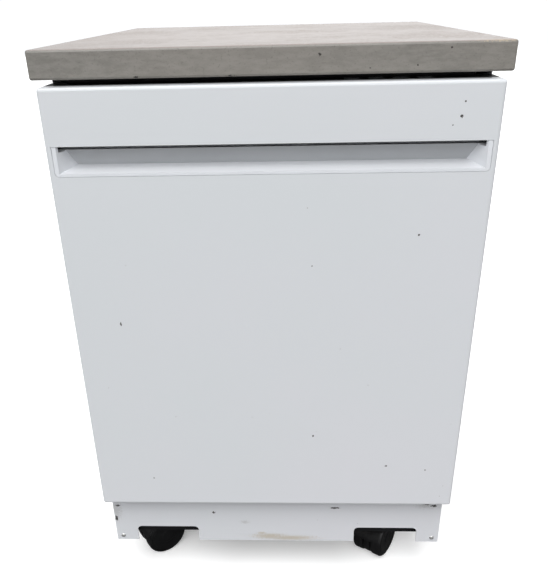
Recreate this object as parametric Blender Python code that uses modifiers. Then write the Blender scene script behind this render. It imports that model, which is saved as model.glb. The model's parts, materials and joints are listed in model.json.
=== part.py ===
"""A portable dishwasher: laminate worktop, drop-down door with a pocket handle, two racks, four casters.

Metres, +Z up. The door faces -Y, and the origin is on the floor under the middle of the machine.
"""

import itertools
import math

import bmesh
import bpy
from mathutils import Matrix, Vector

# ---- Sizes ------------------------------------------------------------------------------------

FIT = 0.0003  # the space left between two pieces that touch
SMALL_EDGE = 0.0008  # the rounding of a small moulded piece's edges

# Sizes that later ones are tied to
WHEEL_RADIUS = 0.040  # a caster's
CASTER_HEADROOM = 0.013  # from a caster's wheels up to the base pan
BASE_FLOOR = 2 * WHEEL_RADIUS + CASTER_HEADROOM

WORKTOP_WIDTH = 0.626
WORKTOP_DEPTH = 0.716
WORKTOP_THICKNESS = 0.037
WORKTOP_EDGE_RADIUS = 0.003
WORKTOP_SET_BACK = 0.0115  # the worktop's front edge behind the door's face
WORKTOP_REAR_OVERHANG = 0.028
WORKTOP_SIDE_OVERHANG = 0.0105  # past the door's side

DOOR_WIDTH = WORKTOP_WIDTH - 2 * WORKTOP_SIDE_OVERHANG
DOOR_HEIGHT = 0.6915
DOOR_BOTTOM = BASE_FLOOR + 0.1085
DOOR_THICKNESS = 0.0575
DOOR_TOP_GAP = 0.008  # from the door's top up to the worktop
DOOR_TO_TUB = 0.005
SKIN_RETURN = 0.027
SKIN_WALL = 0.0012
SKIN_EDGE_RADIUS = 0.004
HINGE_DEPTH = 0.020  # the hinge axis behind the door's face
HINGE_RISE = 0.0105  # the hinge axis above the door's bottom

WINDOW_MARGIN = 0.008  # door skin left on each side of the handle window
WINDOW_HEIGHT = 0.041
WINDOW_DROP = 0.075  # from the door's top down to the window
WINDOW_CORNER = 0.006
HANDLE_LIP_SIDE = 0.006
HANDLE_LIP_BOTTOM = 0.0042
HANDLE_CREASE_DEPTH = 0.0245
HANDLE_CREASE_RISE = 0.0084  # the crease above the bottom lip's upper edge
HANDLE_CREASE_SET_IN = 0.0205  # each end of the crease inside the pocket's end
HANDLE_FINGER_DEPTH = 0.012  # where the upper slope ends, and the finger gap begins
HANDLE_UPPER_SLOPE = 1.8  # rise over run of the upper slope
HANDLE_WALL = 0.002
HANDLE_CAVITY_RISE = 0.026  # the finger cavity above the window

CONSOLE_HEIGHT = 0.030
CONSOLE_SIDE_MARGIN = 0.0035
CONSOLE_WALL = 0.0025
CONSOLE_TOP_WALL = 0.009
BUTTON_COUNT = 4
BUTTON_SIZE = (0.020, 0.012, 0.005)
BUTTON_PITCH = 0.032
BUTTON_FIRST_X = 0.110
BUTTON_PROUD = 0.001
BUTTON_TRAVEL = 0.0015
BUTTON_CLEARANCE = 0.0004

INNER_DOOR_MARGIN = 0.0125
INNER_DOOR_WALL = 0.002
DOOR_CUTTER_REACH = 0.01  # how far a cutter stands past the wall that it cuts

BRACKET_SHEET = 0.003
BRACKET_SIDE_GAP = 0.0015  # from the inner door's side to the hinge bracket
BRACKET_CLEARANCE = 0.0012
BRACKET_HEIGHT = 0.012
BRACKET_KNEE = 0.010  # from the tub's front back to where the bracket turns down
BRACKET_LEG = 0.035
HINGE_PIN_RADIUS = 0.004
HINGE_PIN_CLEARANCE = 0.0004
HINGE_ARM_SHEET = 0.0025
HINGE_ARM_LENGTH = 0.180
HINGE_ARM_WIDTH = 0.014

STRIKE_DROP = 0.017  # the strike's tongue below the door's top
STRIKE_HALF = 0.012
STRIKE_THICKNESS = 0.0025
STRIKE_REACH = 0.010
LATCH_WALL = 0.004
LATCH_ROOM = 0.002  # beside the strike in the latch's mouth

DISPENSER_SIZE = (0.190, 0.110)
DISPENSER_DEPTH = 0.024
DISPENSER_RISE = 0.300  # its middle above the door's bottom
DISPENSER_WALL = 0.003
CUP_SIZE = (0.062, 0.070)
CUP_CORNER = 0.008
CUP_X = -0.055
LID_THICKNESS = 0.0025
LID_OVERLAP = 0.004
LID_TRAVEL = 0.064
RINSE_CAP_RADIUS = 0.017
RINSE_CAP_X = 0.064
RINSE_CAP_THICKNESS = 0.004

CABINET_WIDTH = DOOR_WIDTH - 0.0066
CABINET_BOTTOM = BASE_FLOOR + 0.007
SHEET = 0.0012  # cabinet steel
PANEL_RETURN = 0.020

KICK_WIDTH = DOOR_WIDTH - 0.012
KICK_SET_BACK = 0.028
KICK_BOTTOM = BASE_FLOOR - 0.0023
KICK_SHEET = 0.0015
KICK_RETURN = 0.020
KICK_DOOR_CLEARANCE = 0.006
CASTER_X = DOOR_WIDTH / 2 - 0.0921
CUTOUT_OUTER = CASTER_X + 0.0458  # from the middle of the kick panel to a caster cutout's outer side
CUTOUT_INNER = CASTER_X - 0.0677
CUTOUT_RISE = 0.0326
CUTOUT_CORNER = 0.008
KICK_SCREW_SIDE = 0.0115  # from the panel's side to its screw
KICK_SCREW_RISE = 0.010
KICK_SCREW_HOLE = 0.0025

BASE_SHEET = 0.002
BASE_RIM = 0.060
BASE_FRONT_SETBACK = 0.003  # behind the kick panel's returns

TUB_HALF_WIDTH = DOOR_WIDTH / 2 - 0.0325
TUB_FLOOR_RISE = 0.0495  # the tub's floor above the door's bottom
TUB_TOP_DROP = 0.043  # the tub's ceiling below the door's top
TUB_INNER_DEPTH = 0.577
TUB_WALL = 0.003
TUB_CORNER = 0.0075
TUB_FLANGE = 0.0035
TUB_FLANGE_SIDE = 0.026
TUB_FLANGE_TOP = 0.014
TUB_FLANGE_BOTTOM = 0.022
TROUGH_HALF_WIDTH = 0.205
TROUGH_DEEP = 0.019
TROUGH_END_MARGIN = 0.022
GASKET_WIDTH = 0.012
GASKET_INSET = 0.002

WASH_CENTRE = 0.350  # the spray arms' axis behind the door's face
SUMP_RADIUS = 0.083
SUMP_OPENING = 0.062
SUMP_DEPTH = 0.078
SUMP_WALL = 0.003
SUMP_POST_RADIUS = 0.009
FEED_POST_RADIUS = 0.0072
FILTER_RADIUS = 0.022
FILTER_OFFSET = 0.036
FILTER_HEIGHT = 0.062
HEATER_RADIUS = 0.165
HEATER_TUBE = 0.004
HEATER_RISE = 0.011
HEATER_GAP_ANGLE = 28
HEATER_LEG = 0.020
ARM_LENGTH = 0.440
ARM_WIDTH = 0.052
ARM_THICKNESS = 0.012
ARM_RISE = 0.012  # the lower arm's underside above the tub's floor
ARM_HUB_RADIUS = 0.020
ARM_BORE_CLEARANCE = 0.0015
ARM_BORE_END = 0.002  # the bore's blind end past the arm's middle

PUMP_RADIUS = 0.034
PUMP_LENGTH = 0.120
DRAIN_PUMP_RADIUS = 0.022
DRAIN_PUMP_LENGTH = 0.070
SPRAY_TUBE_RADIUS = 0.008
VALVE_SIZE = (0.050, 0.045, 0.055)
VALVE_SIDE = 0.050  # from the base pan's left side to the fill valve
VALVE_REAR = 0.020

POWER_GLAND_X = 0.200
HOSE_GLAND_X = -0.180
GLAND_RISE = 0.040  # above the base pan's rim
POWER_GLAND_RADIUS = 0.009
HOSE_GLAND_RADIUS = 0.020
GLAND_FLANGE = 0.005
GLAND_PROUD = 0.008
GLAND_CLEARANCE = 0.001

RACK_FRONT_CLEARANCE = 0.015  # from the inner door to a rack
RACK_DEPTH = 0.530
RACK_HALF_WIDTH = TUB_HALF_WIDTH - 0.023
RACK_WIRE = 0.004
RACK_CELLS = 6
LOWER_RACK_RISE = 0.039  # above the tub's floor
LOWER_RACK_HEIGHT = 0.135
UPPER_RACK_RISE = 0.280
UPPER_RACK_HEIGHT = 0.125
RACK_WHEEL_RADIUS = 0.0185
RACK_WHEEL_WIDTH = 0.008
RACK_WHEEL_ENDS = 0.085  # from a rack's end to its nearer wheels
RACK_AXLE_RADIUS = 0.003
RACK_AXLE_CLEARANCE = 0.0006
RAIL_SIZE = (0.010, 0.022)
RACK_WHEEL_GAP = 0.006  # from the rack's side to its wheels
RACK_WHEEL_EDGE = 0.0015
RACK_HANGER = (0.002, 0.018)  # the sheet that holds a wheel: how proud of the rack, and how long
RUNNER_LENGTH = 0.110
RUNNER_REAR = 0.040  # from the rack's back to its runners
RUNNER_CLEARANCE = 0.001
RAIL_FRONT = 0.020  # from the tub's front to its rails
RAIL_REAR = 0.004
BASKET_SIZE = (0.080, 0.250, 0.115)
BASKET_WALL = 0.0025
BASKET_CLEARANCE = 0.004  # beside the rack's side
BASKET_LIFT = 0.002
BASKET_FRONT = 0.120  # behind the rack's front

BRACE_SIZE = (0.024, 0.018)
BRACE_SHEET = 0.002
BRACE_FRONT_MARGIN = 0.006  # behind the tub's flange
BRACE_REAR_MARGIN = 0.010

CASTER_FRONT_DEPTH = 0.131
CASTER_REAR_MARGIN = 0.085
CASTER_TRAIL = 0.029
CASTER_WIDTH = 0.060
CASTER_CORE = 0.014
WHEEL_CLEARANCE = 0.0012
WHEEL_SIDES = 20
AXLE_RADIUS = 0.004
AXLE_CLEARANCE = 0.0005
HOOD_WALL = 0.003
HOOD_EDGE_RISE = 0.012  # the hood's lower edge above the axle
STEM_RADIUS = 0.0055
STEM_CLEARANCE = 0.001
STEM_RISE = 0.018
CASTER_TURNS = {"front_left": 54, "front_right": 33, "rear_left": -28, "rear_right": 64}

# ---- Places that follow from the sizes --------------------------------------------------------

FRONT_Y = -(WORKTOP_DEPTH + WORKTOP_SET_BACK) / 2
WORKTOP_BACK = WORKTOP_SET_BACK + WORKTOP_DEPTH
DOOR_TOP = DOOR_BOTTOM + DOOR_HEIGHT
WORKTOP_BOTTOM = DOOR_TOP + DOOR_TOP_GAP
HINGE_Z = DOOR_BOTTOM + HINGE_RISE
PANEL_BACK = WORKTOP_BACK - WORKTOP_REAR_OVERHANG
TUB_FRONT = DOOR_THICKNESS + DOOR_TO_TUB
TUB_BACK = TUB_FRONT + TUB_INNER_DEPTH
TUB_FLOOR = DOOR_BOTTOM + TUB_FLOOR_RISE
TROUGH_FLOOR = TUB_FLOOR - TROUGH_DEEP
TUB_CEILING = DOOR_TOP - TUB_TOP_DROP
WINDOW_HALF = DOOR_WIDTH / 2 - WINDOW_MARGIN
WINDOW_TOP = DOOR_TOP - WINDOW_DROP
WINDOW_BOTTOM = WINDOW_TOP - WINDOW_HEIGHT
CONSOLE_BOTTOM = DOOR_TOP - CONSOLE_HEIGHT
INNER_HALF = DOOR_WIDTH / 2 - INNER_DOOR_MARGIN
RACK_FRONT = DOOR_THICKNESS + RACK_FRONT_CLEARANCE
KICK_TOP = HINGE_Z - math.hypot(HINGE_DEPTH, HINGE_RISE) - KICK_DOOR_CLEARANCE
KICK_RETURN_BACK = KICK_SET_BACK + KICK_RETURN
BASE_FRONT = KICK_RETURN_BACK + BASE_FRONT_SETBACK
BASE_BACK = PANEL_BACK - 2 * SHEET - 2 * FIT
BASE_HALF = CABINET_WIDTH / 2 - SHEET - FIT
DISPENSER_Z = DOOR_BOTTOM + DISPENSER_RISE
GLAND_Z = BASE_FLOOR + BASE_RIM + GLAND_RISE
BRACE_FRONT = TUB_FRONT + BRACE_FRONT_MARGIN
BRACKET_OUTER = INNER_HALF + BRACKET_SIDE_GAP + BRACKET_SHEET
BRACKET_INNER = BRACKET_OUTER - BRACKET_SHEET
STRIKE_Z = DOOR_TOP - STRIKE_DROP
RAIL_Z = TUB_FLOOR + UPPER_RACK_RISE + UPPER_RACK_HEIGHT * 0.55
ARM_BOTTOM = TUB_FLOOR + ARM_RISE
UPPER_ARM_TOP = TUB_FLOOR + UPPER_RACK_RISE - RACK_WIRE - 2 * SPRAY_TUBE_RADIUS


def behind(depth):
    """The Y of a place this far behind the door's face."""
    return FRONT_Y + depth


# ---- Collections and materials ----------------------------------------------------------------

for leftover in list(bpy.data.objects):
    bpy.data.objects.remove(leftover, do_unlink=True)


def new_collection(name):
    collection = bpy.data.collections.new(name)
    bpy.context.scene.collection.children.link(collection)
    return collection


PARTS = new_collection("portable_dishwasher")
CUTTERS = new_collection("cutters")


def new_material(name, colour, roughness, metallic=0.0):
    made = bpy.data.materials.new(name)
    made.use_nodes = True
    shader = made.node_tree.nodes["Principled BSDF"]
    shader.inputs["Base Color"].default_value = (*colour, 1)
    shader.inputs["Roughness"].default_value = roughness
    shader.inputs["Metallic"].default_value = metallic
    return made


WHITE_ENAMEL = new_material("white_enamel", (0.62, 0.65, 0.66), 0.3)
WHITE_PLASTIC = new_material("white_plastic", (0.62, 0.64, 0.67), 0.45)
LAMINATE = new_material("laminate", (0.42, 0.40, 0.37), 0.5)
BLACK_PLASTIC = new_material("black_plastic", (0.012, 0.012, 0.013), 0.4)
GREY_PLASTIC = new_material("grey_plastic", (0.30, 0.31, 0.33), 0.5)
TUB_PLASTIC = new_material("tub_plastic", (0.45, 0.45, 0.44), 0.4)
BUTTON_PLASTIC = new_material("button_plastic", (0.08, 0.08, 0.085), 0.35)
RUBBER = new_material("rubber", (0.02, 0.02, 0.02), 0.7)
STEEL = new_material("steel", (0.56, 0.57, 0.58), 0.35, 1.0)
ZINC = new_material("zinc_plate", (0.50, 0.50, 0.48), 0.45, 1.0)
RACK_VINYL = new_material("rack_vinyl", (0.25, 0.30, 0.36), 0.5)

# ---- Modelling helpers ------------------------------------------------------------------------


def new_object(name, mesh, location=(0, 0, 0), collection=PARTS):
    obj = bpy.data.objects.new(name, mesh)
    obj.location = location
    collection.objects.link(obj)
    return obj


def mesh_from(bm, name):
    mesh = bpy.data.meshes.new(name)
    bm.to_mesh(mesh)
    bm.free()
    return mesh


def box(name, x, depth, z):
    """A box between two values of X, of the depth behind the door's face and of Z."""
    low = Vector((x[0], behind(depth[0]), z[0]))
    high = Vector((x[1], behind(depth[1]), z[1]))
    bm = bmesh.new()
    bmesh.ops.create_cube(bm, size=1)
    bmesh.ops.scale(bm, vec=high - low, verts=bm.verts)
    return new_object(name, mesh_from(bm, name), (low + high) / 2)


def rod(name, start, end, radius, sides=16):
    """A cylinder from one point to another."""
    start, end = Vector(start), Vector(end)
    bm = bmesh.new()
    turn = (end - start).to_track_quat("Z", "Y").to_matrix().to_4x4()
    bmesh.ops.create_cone(
        bm, cap_ends=True, segments=sides, radius1=radius, radius2=radius,
        depth=(end - start).length, matrix=turn,
    )
    return new_object(name, mesh_from(bm, name), (start + end) / 2)


def mesh_of_curve(curve_object):
    """The curve's own mesh with its caps welded, in an object of the same name and place."""
    graph = bpy.context.evaluated_depsgraph_get()
    mesh = bpy.data.meshes.new_from_object(curve_object.evaluated_get(graph))
    bm = bmesh.new()
    bm.from_mesh(mesh)
    bmesh.ops.remove_doubles(bm, verts=bm.verts, dist=1e-6)
    bmesh.ops.recalc_face_normals(bm, faces=bm.faces)
    bm.to_mesh(mesh)
    bm.free()
    name = curve_object.name
    place = curve_object.matrix_world.copy()
    bpy.data.objects.remove(curve_object)
    made = new_object(name, mesh)
    made.matrix_world = place
    return made


def plate(name, outline, plane, span):
    """A flat outline, drawn in the XZ, XY or YZ plane, with its thickness between the two values of span."""
    curve = bpy.data.curves.new(name, "CURVE")
    curve.dimensions = "2D"
    curve.fill_mode = "BOTH"
    curve.extrude = (span[1] - span[0]) / 2
    spline = curve.splines.new("POLY")
    spline.points.add(len(outline) - 1)
    for point, (a, b) in zip(spline.points, outline):
        point.co = (a, b, 0, 1)
    spline.use_cyclic_u = True
    middle = (span[0] + span[1]) / 2
    turn = {
        "XZ": Matrix.Translation((0, middle, 0)) @ Matrix.Rotation(math.pi / 2, 4, "X"),
        "XY": Matrix.Translation((0, 0, middle)),
        "YZ": Matrix.Translation((middle, 0, 0))
        @ Matrix.Rotation(math.pi / 2, 4, "Z")
        @ Matrix.Rotation(math.pi / 2, 4, "X"),
    }[plane]
    drawn = new_object(name, curve)
    drawn.matrix_world = turn
    bpy.context.view_layer.update()
    return mesh_of_curve(drawn)


def rounded(corners, steps=4):
    """The outline through corners given as (a, b, radius), each turned into an arc of its radius."""
    outline = []
    for index, (a, b, radius) in enumerate(corners):
        here = Vector((a, b))
        if radius == 0:
            outline.append(here)
            continue
        back = (Vector(corners[index - 1][:2]) - here).normalized()
        ahead = (Vector(corners[(index + 1) % len(corners)][:2]) - here).normalized()
        half = back.angle(ahead) / 2
        centre = here + (back + ahead).normalized() * radius / math.sin(half)
        reach = radius / math.tan(half)
        first = (here + back * reach - centre).normalized()
        last = (here + ahead * reach - centre).normalized()
        outline += [centre + first.slerp(last, step / steps) * radius for step in range(steps + 1)]
    return outline


def turned(name, profile, location, sides=24):
    """A turned solid about its own Z from (radius, height) points that run down its outer side.

    The profile stands half a side away from +X, so a flat of the finished shape faces +X.
    """
    angle = math.pi / sides
    bm = bmesh.new()
    points = [bm.verts.new((r * math.cos(angle), r * math.sin(angle), h)) for r, h in profile]
    for first, second in zip(points, points[1:]):
        bm.edges.new((first, second))
    if profile[0][0] or profile[-1][0]:
        bm.edges.new((points[-1], points[0]))
    made = new_object(name, mesh_from(bm, name), location)
    screw = made.modifiers.new("turn", "SCREW")
    screw.steps = screw.render_steps = sides
    screw.use_merge_vertices = True
    screw.merge_threshold = 1e-5
    return made


def tube(name, points, radius, sides_each_way=2):
    """A round wire or pipe along the points, with closed ends."""
    curve = bpy.data.curves.new(name, "CURVE")
    curve.dimensions = "3D"
    curve.bevel_depth = radius
    curve.bevel_resolution = sides_each_way
    curve.use_fill_caps = True
    spline = curve.splines.new("POLY")
    spline.points.add(len(points) - 1)
    for point, place in zip(spline.points, points):
        point.co = (*place, 1)
    drawn = new_object(name, curve)
    bpy.context.view_layer.update()
    return mesh_of_curve(drawn)


def boolean(obj, other, operation):
    modifier = obj.modifiers.new(f"{operation.lower()}_{other.name}", "BOOLEAN")
    modifier.operation = operation
    modifier.object = other
    PARTS.objects.unlink(other)
    CUTTERS.objects.link(other)
    other.hide_render = True
    other.display_type = "WIRE"
    return obj


def cut(obj, *cutters):
    for cutter in cutters:
        boolean(obj, cutter, "DIFFERENCE")
    return obj


def join(obj, *others):
    for other in others:
        boolean(obj, other, "UNION")
    return obj


def bevel(obj, width, segments=2, angle=40):
    modifier = obj.modifiers.new("rounded_edges", "BEVEL")
    modifier.width = width
    modifier.segments = segments
    modifier.limit_method = "ANGLE"
    modifier.angle_limit = math.radians(angle)
    return obj


def finish(obj, material, parent=None):
    """Gives the piece its material, smooth round faces and its parent, keeping its place."""
    obj.data.materials.clear()
    obj.data.materials.append(material)
    obj.data.shade_smooth()
    obj.data.set_sharp_from_angle(angle=math.radians(35))
    if parent is not None:
        obj.location = obj.location - parent.location
        obj.parent = parent
    return obj


def pivot(name, location):
    """An empty on a moving group's axis."""
    empty = bpy.data.objects.new(name, None)
    empty.empty_display_size = 0.03
    empty.location = location
    PARTS.objects.link(empty)
    return empty


# ---- Worktop and cabinet ----------------------------------------------------------------------


def make_worktop():
    half = WORKTOP_WIDTH / 2
    top = box(
        "worktop", (-half, half), (WORKTOP_SET_BACK, WORKTOP_BACK),
        (WORKTOP_BOTTOM, WORKTOP_BOTTOM + WORKTOP_THICKNESS),
    )
    finish(bevel(top, WORKTOP_EDGE_RADIUS), LAMINATE)


def make_side_panel(name, side):
    """One cabinet side, a folded sheet: a block from which all but the side, rear and top walls is cut."""
    outer = CABINET_WIDTH / 2
    top, rear = WORKTOP_BOTTOM - FIT, PANEL_BACK - SHEET - FIT
    x = sorted((side * (outer - PANEL_RETURN), side * outer))
    panel = box(name, x, (TUB_FRONT, rear), (CABINET_BOTTOM, top))
    inside = box(
        f"{name}_inside", sorted((side * (outer - 2 * PANEL_RETURN), side * (outer - SHEET))),
        (TUB_FRONT - PANEL_RETURN, rear - SHEET), (CABINET_BOTTOM - PANEL_RETURN, top - SHEET),
    )
    finish(cut(panel, inside), WHITE_ENAMEL)


def make_back_panel():
    half = CABINET_WIDTH / 2 - SHEET
    back = box(
        "back_panel", (-half, half), (PANEL_BACK - SHEET, PANEL_BACK),
        (CABINET_BOTTOM, WORKTOP_BOTTOM - FIT),
    )
    for x, radius in ((POWER_GLAND_X, POWER_GLAND_RADIUS), (HOSE_GLAND_X, HOSE_GLAND_RADIUS)):
        centre = Vector((x, behind(PANEL_BACK), GLAND_Z))
        reach = Vector((0, 4 * SHEET, 0))
        cut(back, rod("back_panel_hole", centre - reach, centre + reach, radius + GLAND_CLEARANCE))
    finish(back, ZINC)


def make_gland(name, x, radius, bore):
    """A bushing through the back panel: a flange outside, a neck through the hole, and its bore."""
    outer = radius + GLAND_FLANGE
    inside = -SHEET - GLAND_PROUD
    profile = [
        (bore, GLAND_PROUD), (outer - GLAND_FLANGE / 2, GLAND_PROUD), (outer, GLAND_PROUD / 2),
        (outer, FIT), (radius, FIT), (radius, inside), (bore, inside),
    ]
    gland = turned(name, profile, (x, behind(PANEL_BACK), GLAND_Z), sides=16)
    gland.rotation_euler = (-math.pi / 2, 0, 0)
    finish(gland, BLACK_PLASTIC)


def make_brace(name, front):
    """A cross bar of angle steel that ties the two sides and takes the worktop's screws."""
    half = CABINET_WIDTH / 2 - PANEL_RETURN - FIT
    depth, height = BRACE_SIZE
    top = WORKTOP_BOTTOM - FIT
    bar = box(name, (-half, half), (front, front + depth), (top - height, top))
    inside = box(
        f"{name}_inside", (-2 * half, 2 * half), (front + BRACE_SHEET, front + 2 * depth),
        (top - 2 * height, top - BRACE_SHEET),
    )
    finish(cut(bar, inside), ZINC)


def make_base_frame():
    """The base pan: a tray with a rim all round, and a hole for each caster's stem."""
    x, depth = (-BASE_HALF, BASE_HALF), (BASE_FRONT, BASE_BACK)
    tray = box("base_frame", x, depth, (BASE_FLOOR, BASE_FLOOR + BASE_RIM))
    inner = box(
        "base_frame_inside", (x[0] + BASE_SHEET, x[1] - BASE_SHEET),
        (depth[0] + BASE_SHEET, depth[1] - BASE_SHEET),
        (BASE_FLOOR + BASE_SHEET, BASE_FLOOR + 2 * BASE_RIM),
    )
    cut(tray, inner)
    for x_place, y_place in caster_places().values():
        low, high = BASE_FLOOR - BASE_SHEET, BASE_FLOOR + 2 * BASE_SHEET
        radius = STEM_RADIUS + STEM_CLEARANCE
        cut(tray, rod("stem_hole", (x_place, y_place, low), (x_place, y_place, high), radius))
    finish(tray, ZINC)


def make_toe_kick():
    """The kick panel: two caster cutouts, corner ears with a screw hole each, and side returns."""
    half, low, top = KICK_WIDTH / 2, KICK_BOTTOM - CUTOUT_RISE, KICK_BOTTOM + CUTOUT_RISE
    kick = box("toe_kick", (-half, half), (KICK_SET_BACK, KICK_RETURN_BACK), (KICK_BOTTOM, KICK_TOP))
    inside = box(
        "kick_inside", (KICK_SHEET - half, half - KICK_SHEET),
        (KICK_SET_BACK + KICK_SHEET, KICK_RETURN_BACK + KICK_RETURN),
        (KICK_BOTTOM - KICK_RETURN, KICK_TOP + KICK_RETURN),
    )
    cut(kick, inside)
    for side in (-1, 1):
        outline = rounded([
            (side * CUTOUT_INNER, low, 0), (side * CUTOUT_INNER, top, CUTOUT_CORNER),
            (side * CUTOUT_OUTER, top, CUTOUT_CORNER), (side * CUTOUT_OUTER, low, 0),
        ])
        span = (behind(KICK_SET_BACK - KICK_SHEET), behind(KICK_RETURN_BACK))
        cut(kick, plate("caster_cutout", outline, "XZ", span))
        screw_x, screw_z = side * (half - KICK_SCREW_SIDE), KICK_BOTTOM + KICK_SCREW_RISE
        ends = [(screw_x, behind(KICK_SET_BACK + reach), screw_z) for reach in (-0.005, 0.005)]
        cut(kick, rod("kick_screw_hole", *ends, KICK_SCREW_HOLE, sides=10))
    finish(kick, WHITE_ENAMEL)


# ---- Tub and wash system ----------------------------------------------------------------------


def make_tub():
    """The wash tub: an open-fronted box with a sunken trough, a front flange and the sump's hole."""
    outer = TUB_HALF_WIDTH + TUB_WALL
    trough = (TUB_FRONT + TROUGH_END_MARGIN, TUB_BACK - TROUGH_END_MARGIN)
    tub = box(
        "tub", (-outer, outer), (TUB_FRONT, TUB_BACK + TUB_WALL),
        (TUB_FLOOR - TUB_WALL, TUB_CEILING + TUB_WALL),
    )
    trough_half = TROUGH_HALF_WIDTH + TUB_WALL
    trough_shell = box(
        "trough_shell", (-trough_half, trough_half), (trough[0] - TUB_WALL, trough[1] + TUB_WALL),
        (TROUGH_FLOOR - TUB_WALL, TUB_FLOOR - TUB_WALL / 2),
    )
    flange_half = TUB_HALF_WIDTH + TUB_FLANGE_SIDE
    flange = box(
        "tub_flange", (-flange_half, flange_half), (TUB_FRONT - TUB_WALL / 4, TUB_FRONT + TUB_FLANGE),
        (TUB_FLOOR - TUB_FLANGE_BOTTOM, TUB_CEILING + TUB_FLANGE_TOP),
    )
    inside = box(
        "tub_inside", (-TUB_HALF_WIDTH, TUB_HALF_WIDTH), (TUB_FRONT - TUB_CORNER * 2, TUB_BACK),
        (TUB_FLOOR, TUB_CEILING),
    )
    bevel(inside, TUB_CORNER, segments=3)
    trough_inside = box(
        "trough_inside", (-TROUGH_HALF_WIDTH, TROUGH_HALF_WIDTH), trough,
        (TROUGH_FLOOR, TUB_FLOOR + TUB_CORNER),
    )
    join(tub, trough_shell, flange)
    cut(tub, inside, trough_inside)
    centre = Vector((0, behind(WASH_CENTRE), TROUGH_FLOOR))
    reach = Vector((0, 0, 3 * TUB_WALL))
    cut(tub, rod("sump_hole", centre - reach, centre + reach, SUMP_OPENING, sides=24))
    for leg in heater_legs():
        cut(tub, rod("heater_hole", leg - reach, leg + reach, HEATER_TUBE + 4 * FIT, sides=10))
    finish(tub, TUB_PLASTIC)


def make_gasket():
    """The seal on the tub's flange, up both sides and over the top. The door's lower edge has its own."""
    inner = TUB_HALF_WIDTH + GASKET_INSET
    outer = inner + GASKET_WIDTH
    low, high, top = TUB_FLOOR, TUB_CEILING + GASKET_INSET, TUB_CEILING + GASKET_WIDTH
    corners = [
        (-outer, low, 0), (-outer, top, TUB_CORNER), (outer, top, TUB_CORNER), (outer, low, 0),
        (inner, low, 0), (inner, high, TUB_CORNER / 2), (-inner, high, TUB_CORNER / 2),
        (-inner, low, 0),
    ]
    span = (behind(DOOR_THICKNESS + FIT), behind(TUB_FRONT - TUB_WALL / 4 - FIT))
    finish(plate("tub_gasket", rounded(corners), "XZ", span), RUBBER)


def make_sump():
    """The sump bowl under the tub, with the post that the lower spray arm turns on."""
    top = TROUGH_FLOOR - TUB_WALL - FIT
    bottom = top - SUMP_DEPTH
    wall = SUMP_WALL
    profile = [
        (SUMP_OPENING, top), (SUMP_RADIUS, top), (SUMP_RADIUS, top - 2 * wall),
        (SUMP_OPENING + wall, top - 3 * wall), (SUMP_OPENING + wall, bottom + 2 * wall),
        (SUMP_OPENING - wall, bottom), (0, bottom), (0, bottom + wall),
        (SUMP_OPENING - 2 * wall, bottom + wall), (SUMP_OPENING, bottom + 3 * wall),
    ]
    bowl = turned("sump", profile, (0, behind(WASH_CENTRE), 0), sides=24)
    post_top = ARM_BOTTOM + ARM_THICKNESS / 2
    post = rod(
        "sump_post", (0, behind(WASH_CENTRE), bottom + wall / 2), (0, behind(WASH_CENTRE), post_top),
        SUMP_POST_RADIUS, sides=12,
    )
    finish(join(bowl, post), GREY_PLASTIC)


def make_filter_cup():
    """The lift-out filter: a cup with an open top, standing in the sump beside the post."""
    rim = TROUGH_FLOOR + TUB_WALL
    wall = SUMP_WALL / 2
    profile = [
        (FILTER_RADIUS - wall, rim), (FILTER_RADIUS, rim), (FILTER_RADIUS, rim - FILTER_HEIGHT),
        (0, rim - FILTER_HEIGHT), (0, rim - FILTER_HEIGHT + wall),
        (FILTER_RADIUS - wall, rim - FILTER_HEIGHT + wall),
    ]
    finish(turned("filter_cup", profile, (FILTER_OFFSET, behind(WASH_CENTRE), 0), sides=16), STEEL)


def heater_legs():
    """Where the heating element's two ends pass through the trough's floor."""
    half_gap = math.radians(HEATER_GAP_ANGLE / 2)
    centre = Vector((0, behind(WASH_CENTRE), TROUGH_FLOOR))
    return [
        centre + HEATER_RADIUS * Vector((math.cos(angle), math.sin(angle), 0))
        for angle in (half_gap, -half_gap)
    ]


def make_heating_element():
    """A nearly full ring of tube above the trough's floor, with both ends turned down through it."""
    half_gap = math.radians(HEATER_GAP_ANGLE / 2)
    steps = 26
    rise = TROUGH_FLOOR + HEATER_RISE
    first, last = heater_legs()
    path = [first - Vector((0, 0, HEATER_LEG)), Vector((first.x, first.y, rise - HEATER_TUBE / 2))]
    for step in range(1, steps):
        angle = half_gap + (2 * math.pi - 2 * half_gap) * step / steps
        x, y = HEATER_RADIUS * math.cos(angle), HEATER_RADIUS * math.sin(angle)
        path.append(Vector((x, behind(WASH_CENTRE) + y, rise)))
    path += [Vector((last.x, last.y, rise - HEATER_TUBE / 2)), last - Vector((0, 0, HEATER_LEG))]
    finish(tube("heating_element", path, HEATER_TUBE, sides_each_way=1), STEEL)


def make_pump(name, radius, length, side):
    """A pump motor lying on its side against the sump, with a narrower neck towards it."""
    start = side * (SUMP_OPENING + SUMP_WALL + FIT + 0.001)
    centre = TROUGH_FLOOR - TUB_WALL - SUMP_DEPTH / 2
    neck = length / 4
    profile = [
        (0, length), (radius * 0.9, length), (radius, length - radius / 5), (radius, neck),
        (radius / 2, neck), (radius / 2, 0), (0, 0),
    ]
    pump = turned(name, profile, (start, behind(WASH_CENTRE), centre), sides=16)
    pump.rotation_euler = (0, side * math.pi / 2, 0)
    finish(pump, STEEL if side > 0 else BLACK_PLASTIC)


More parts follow.
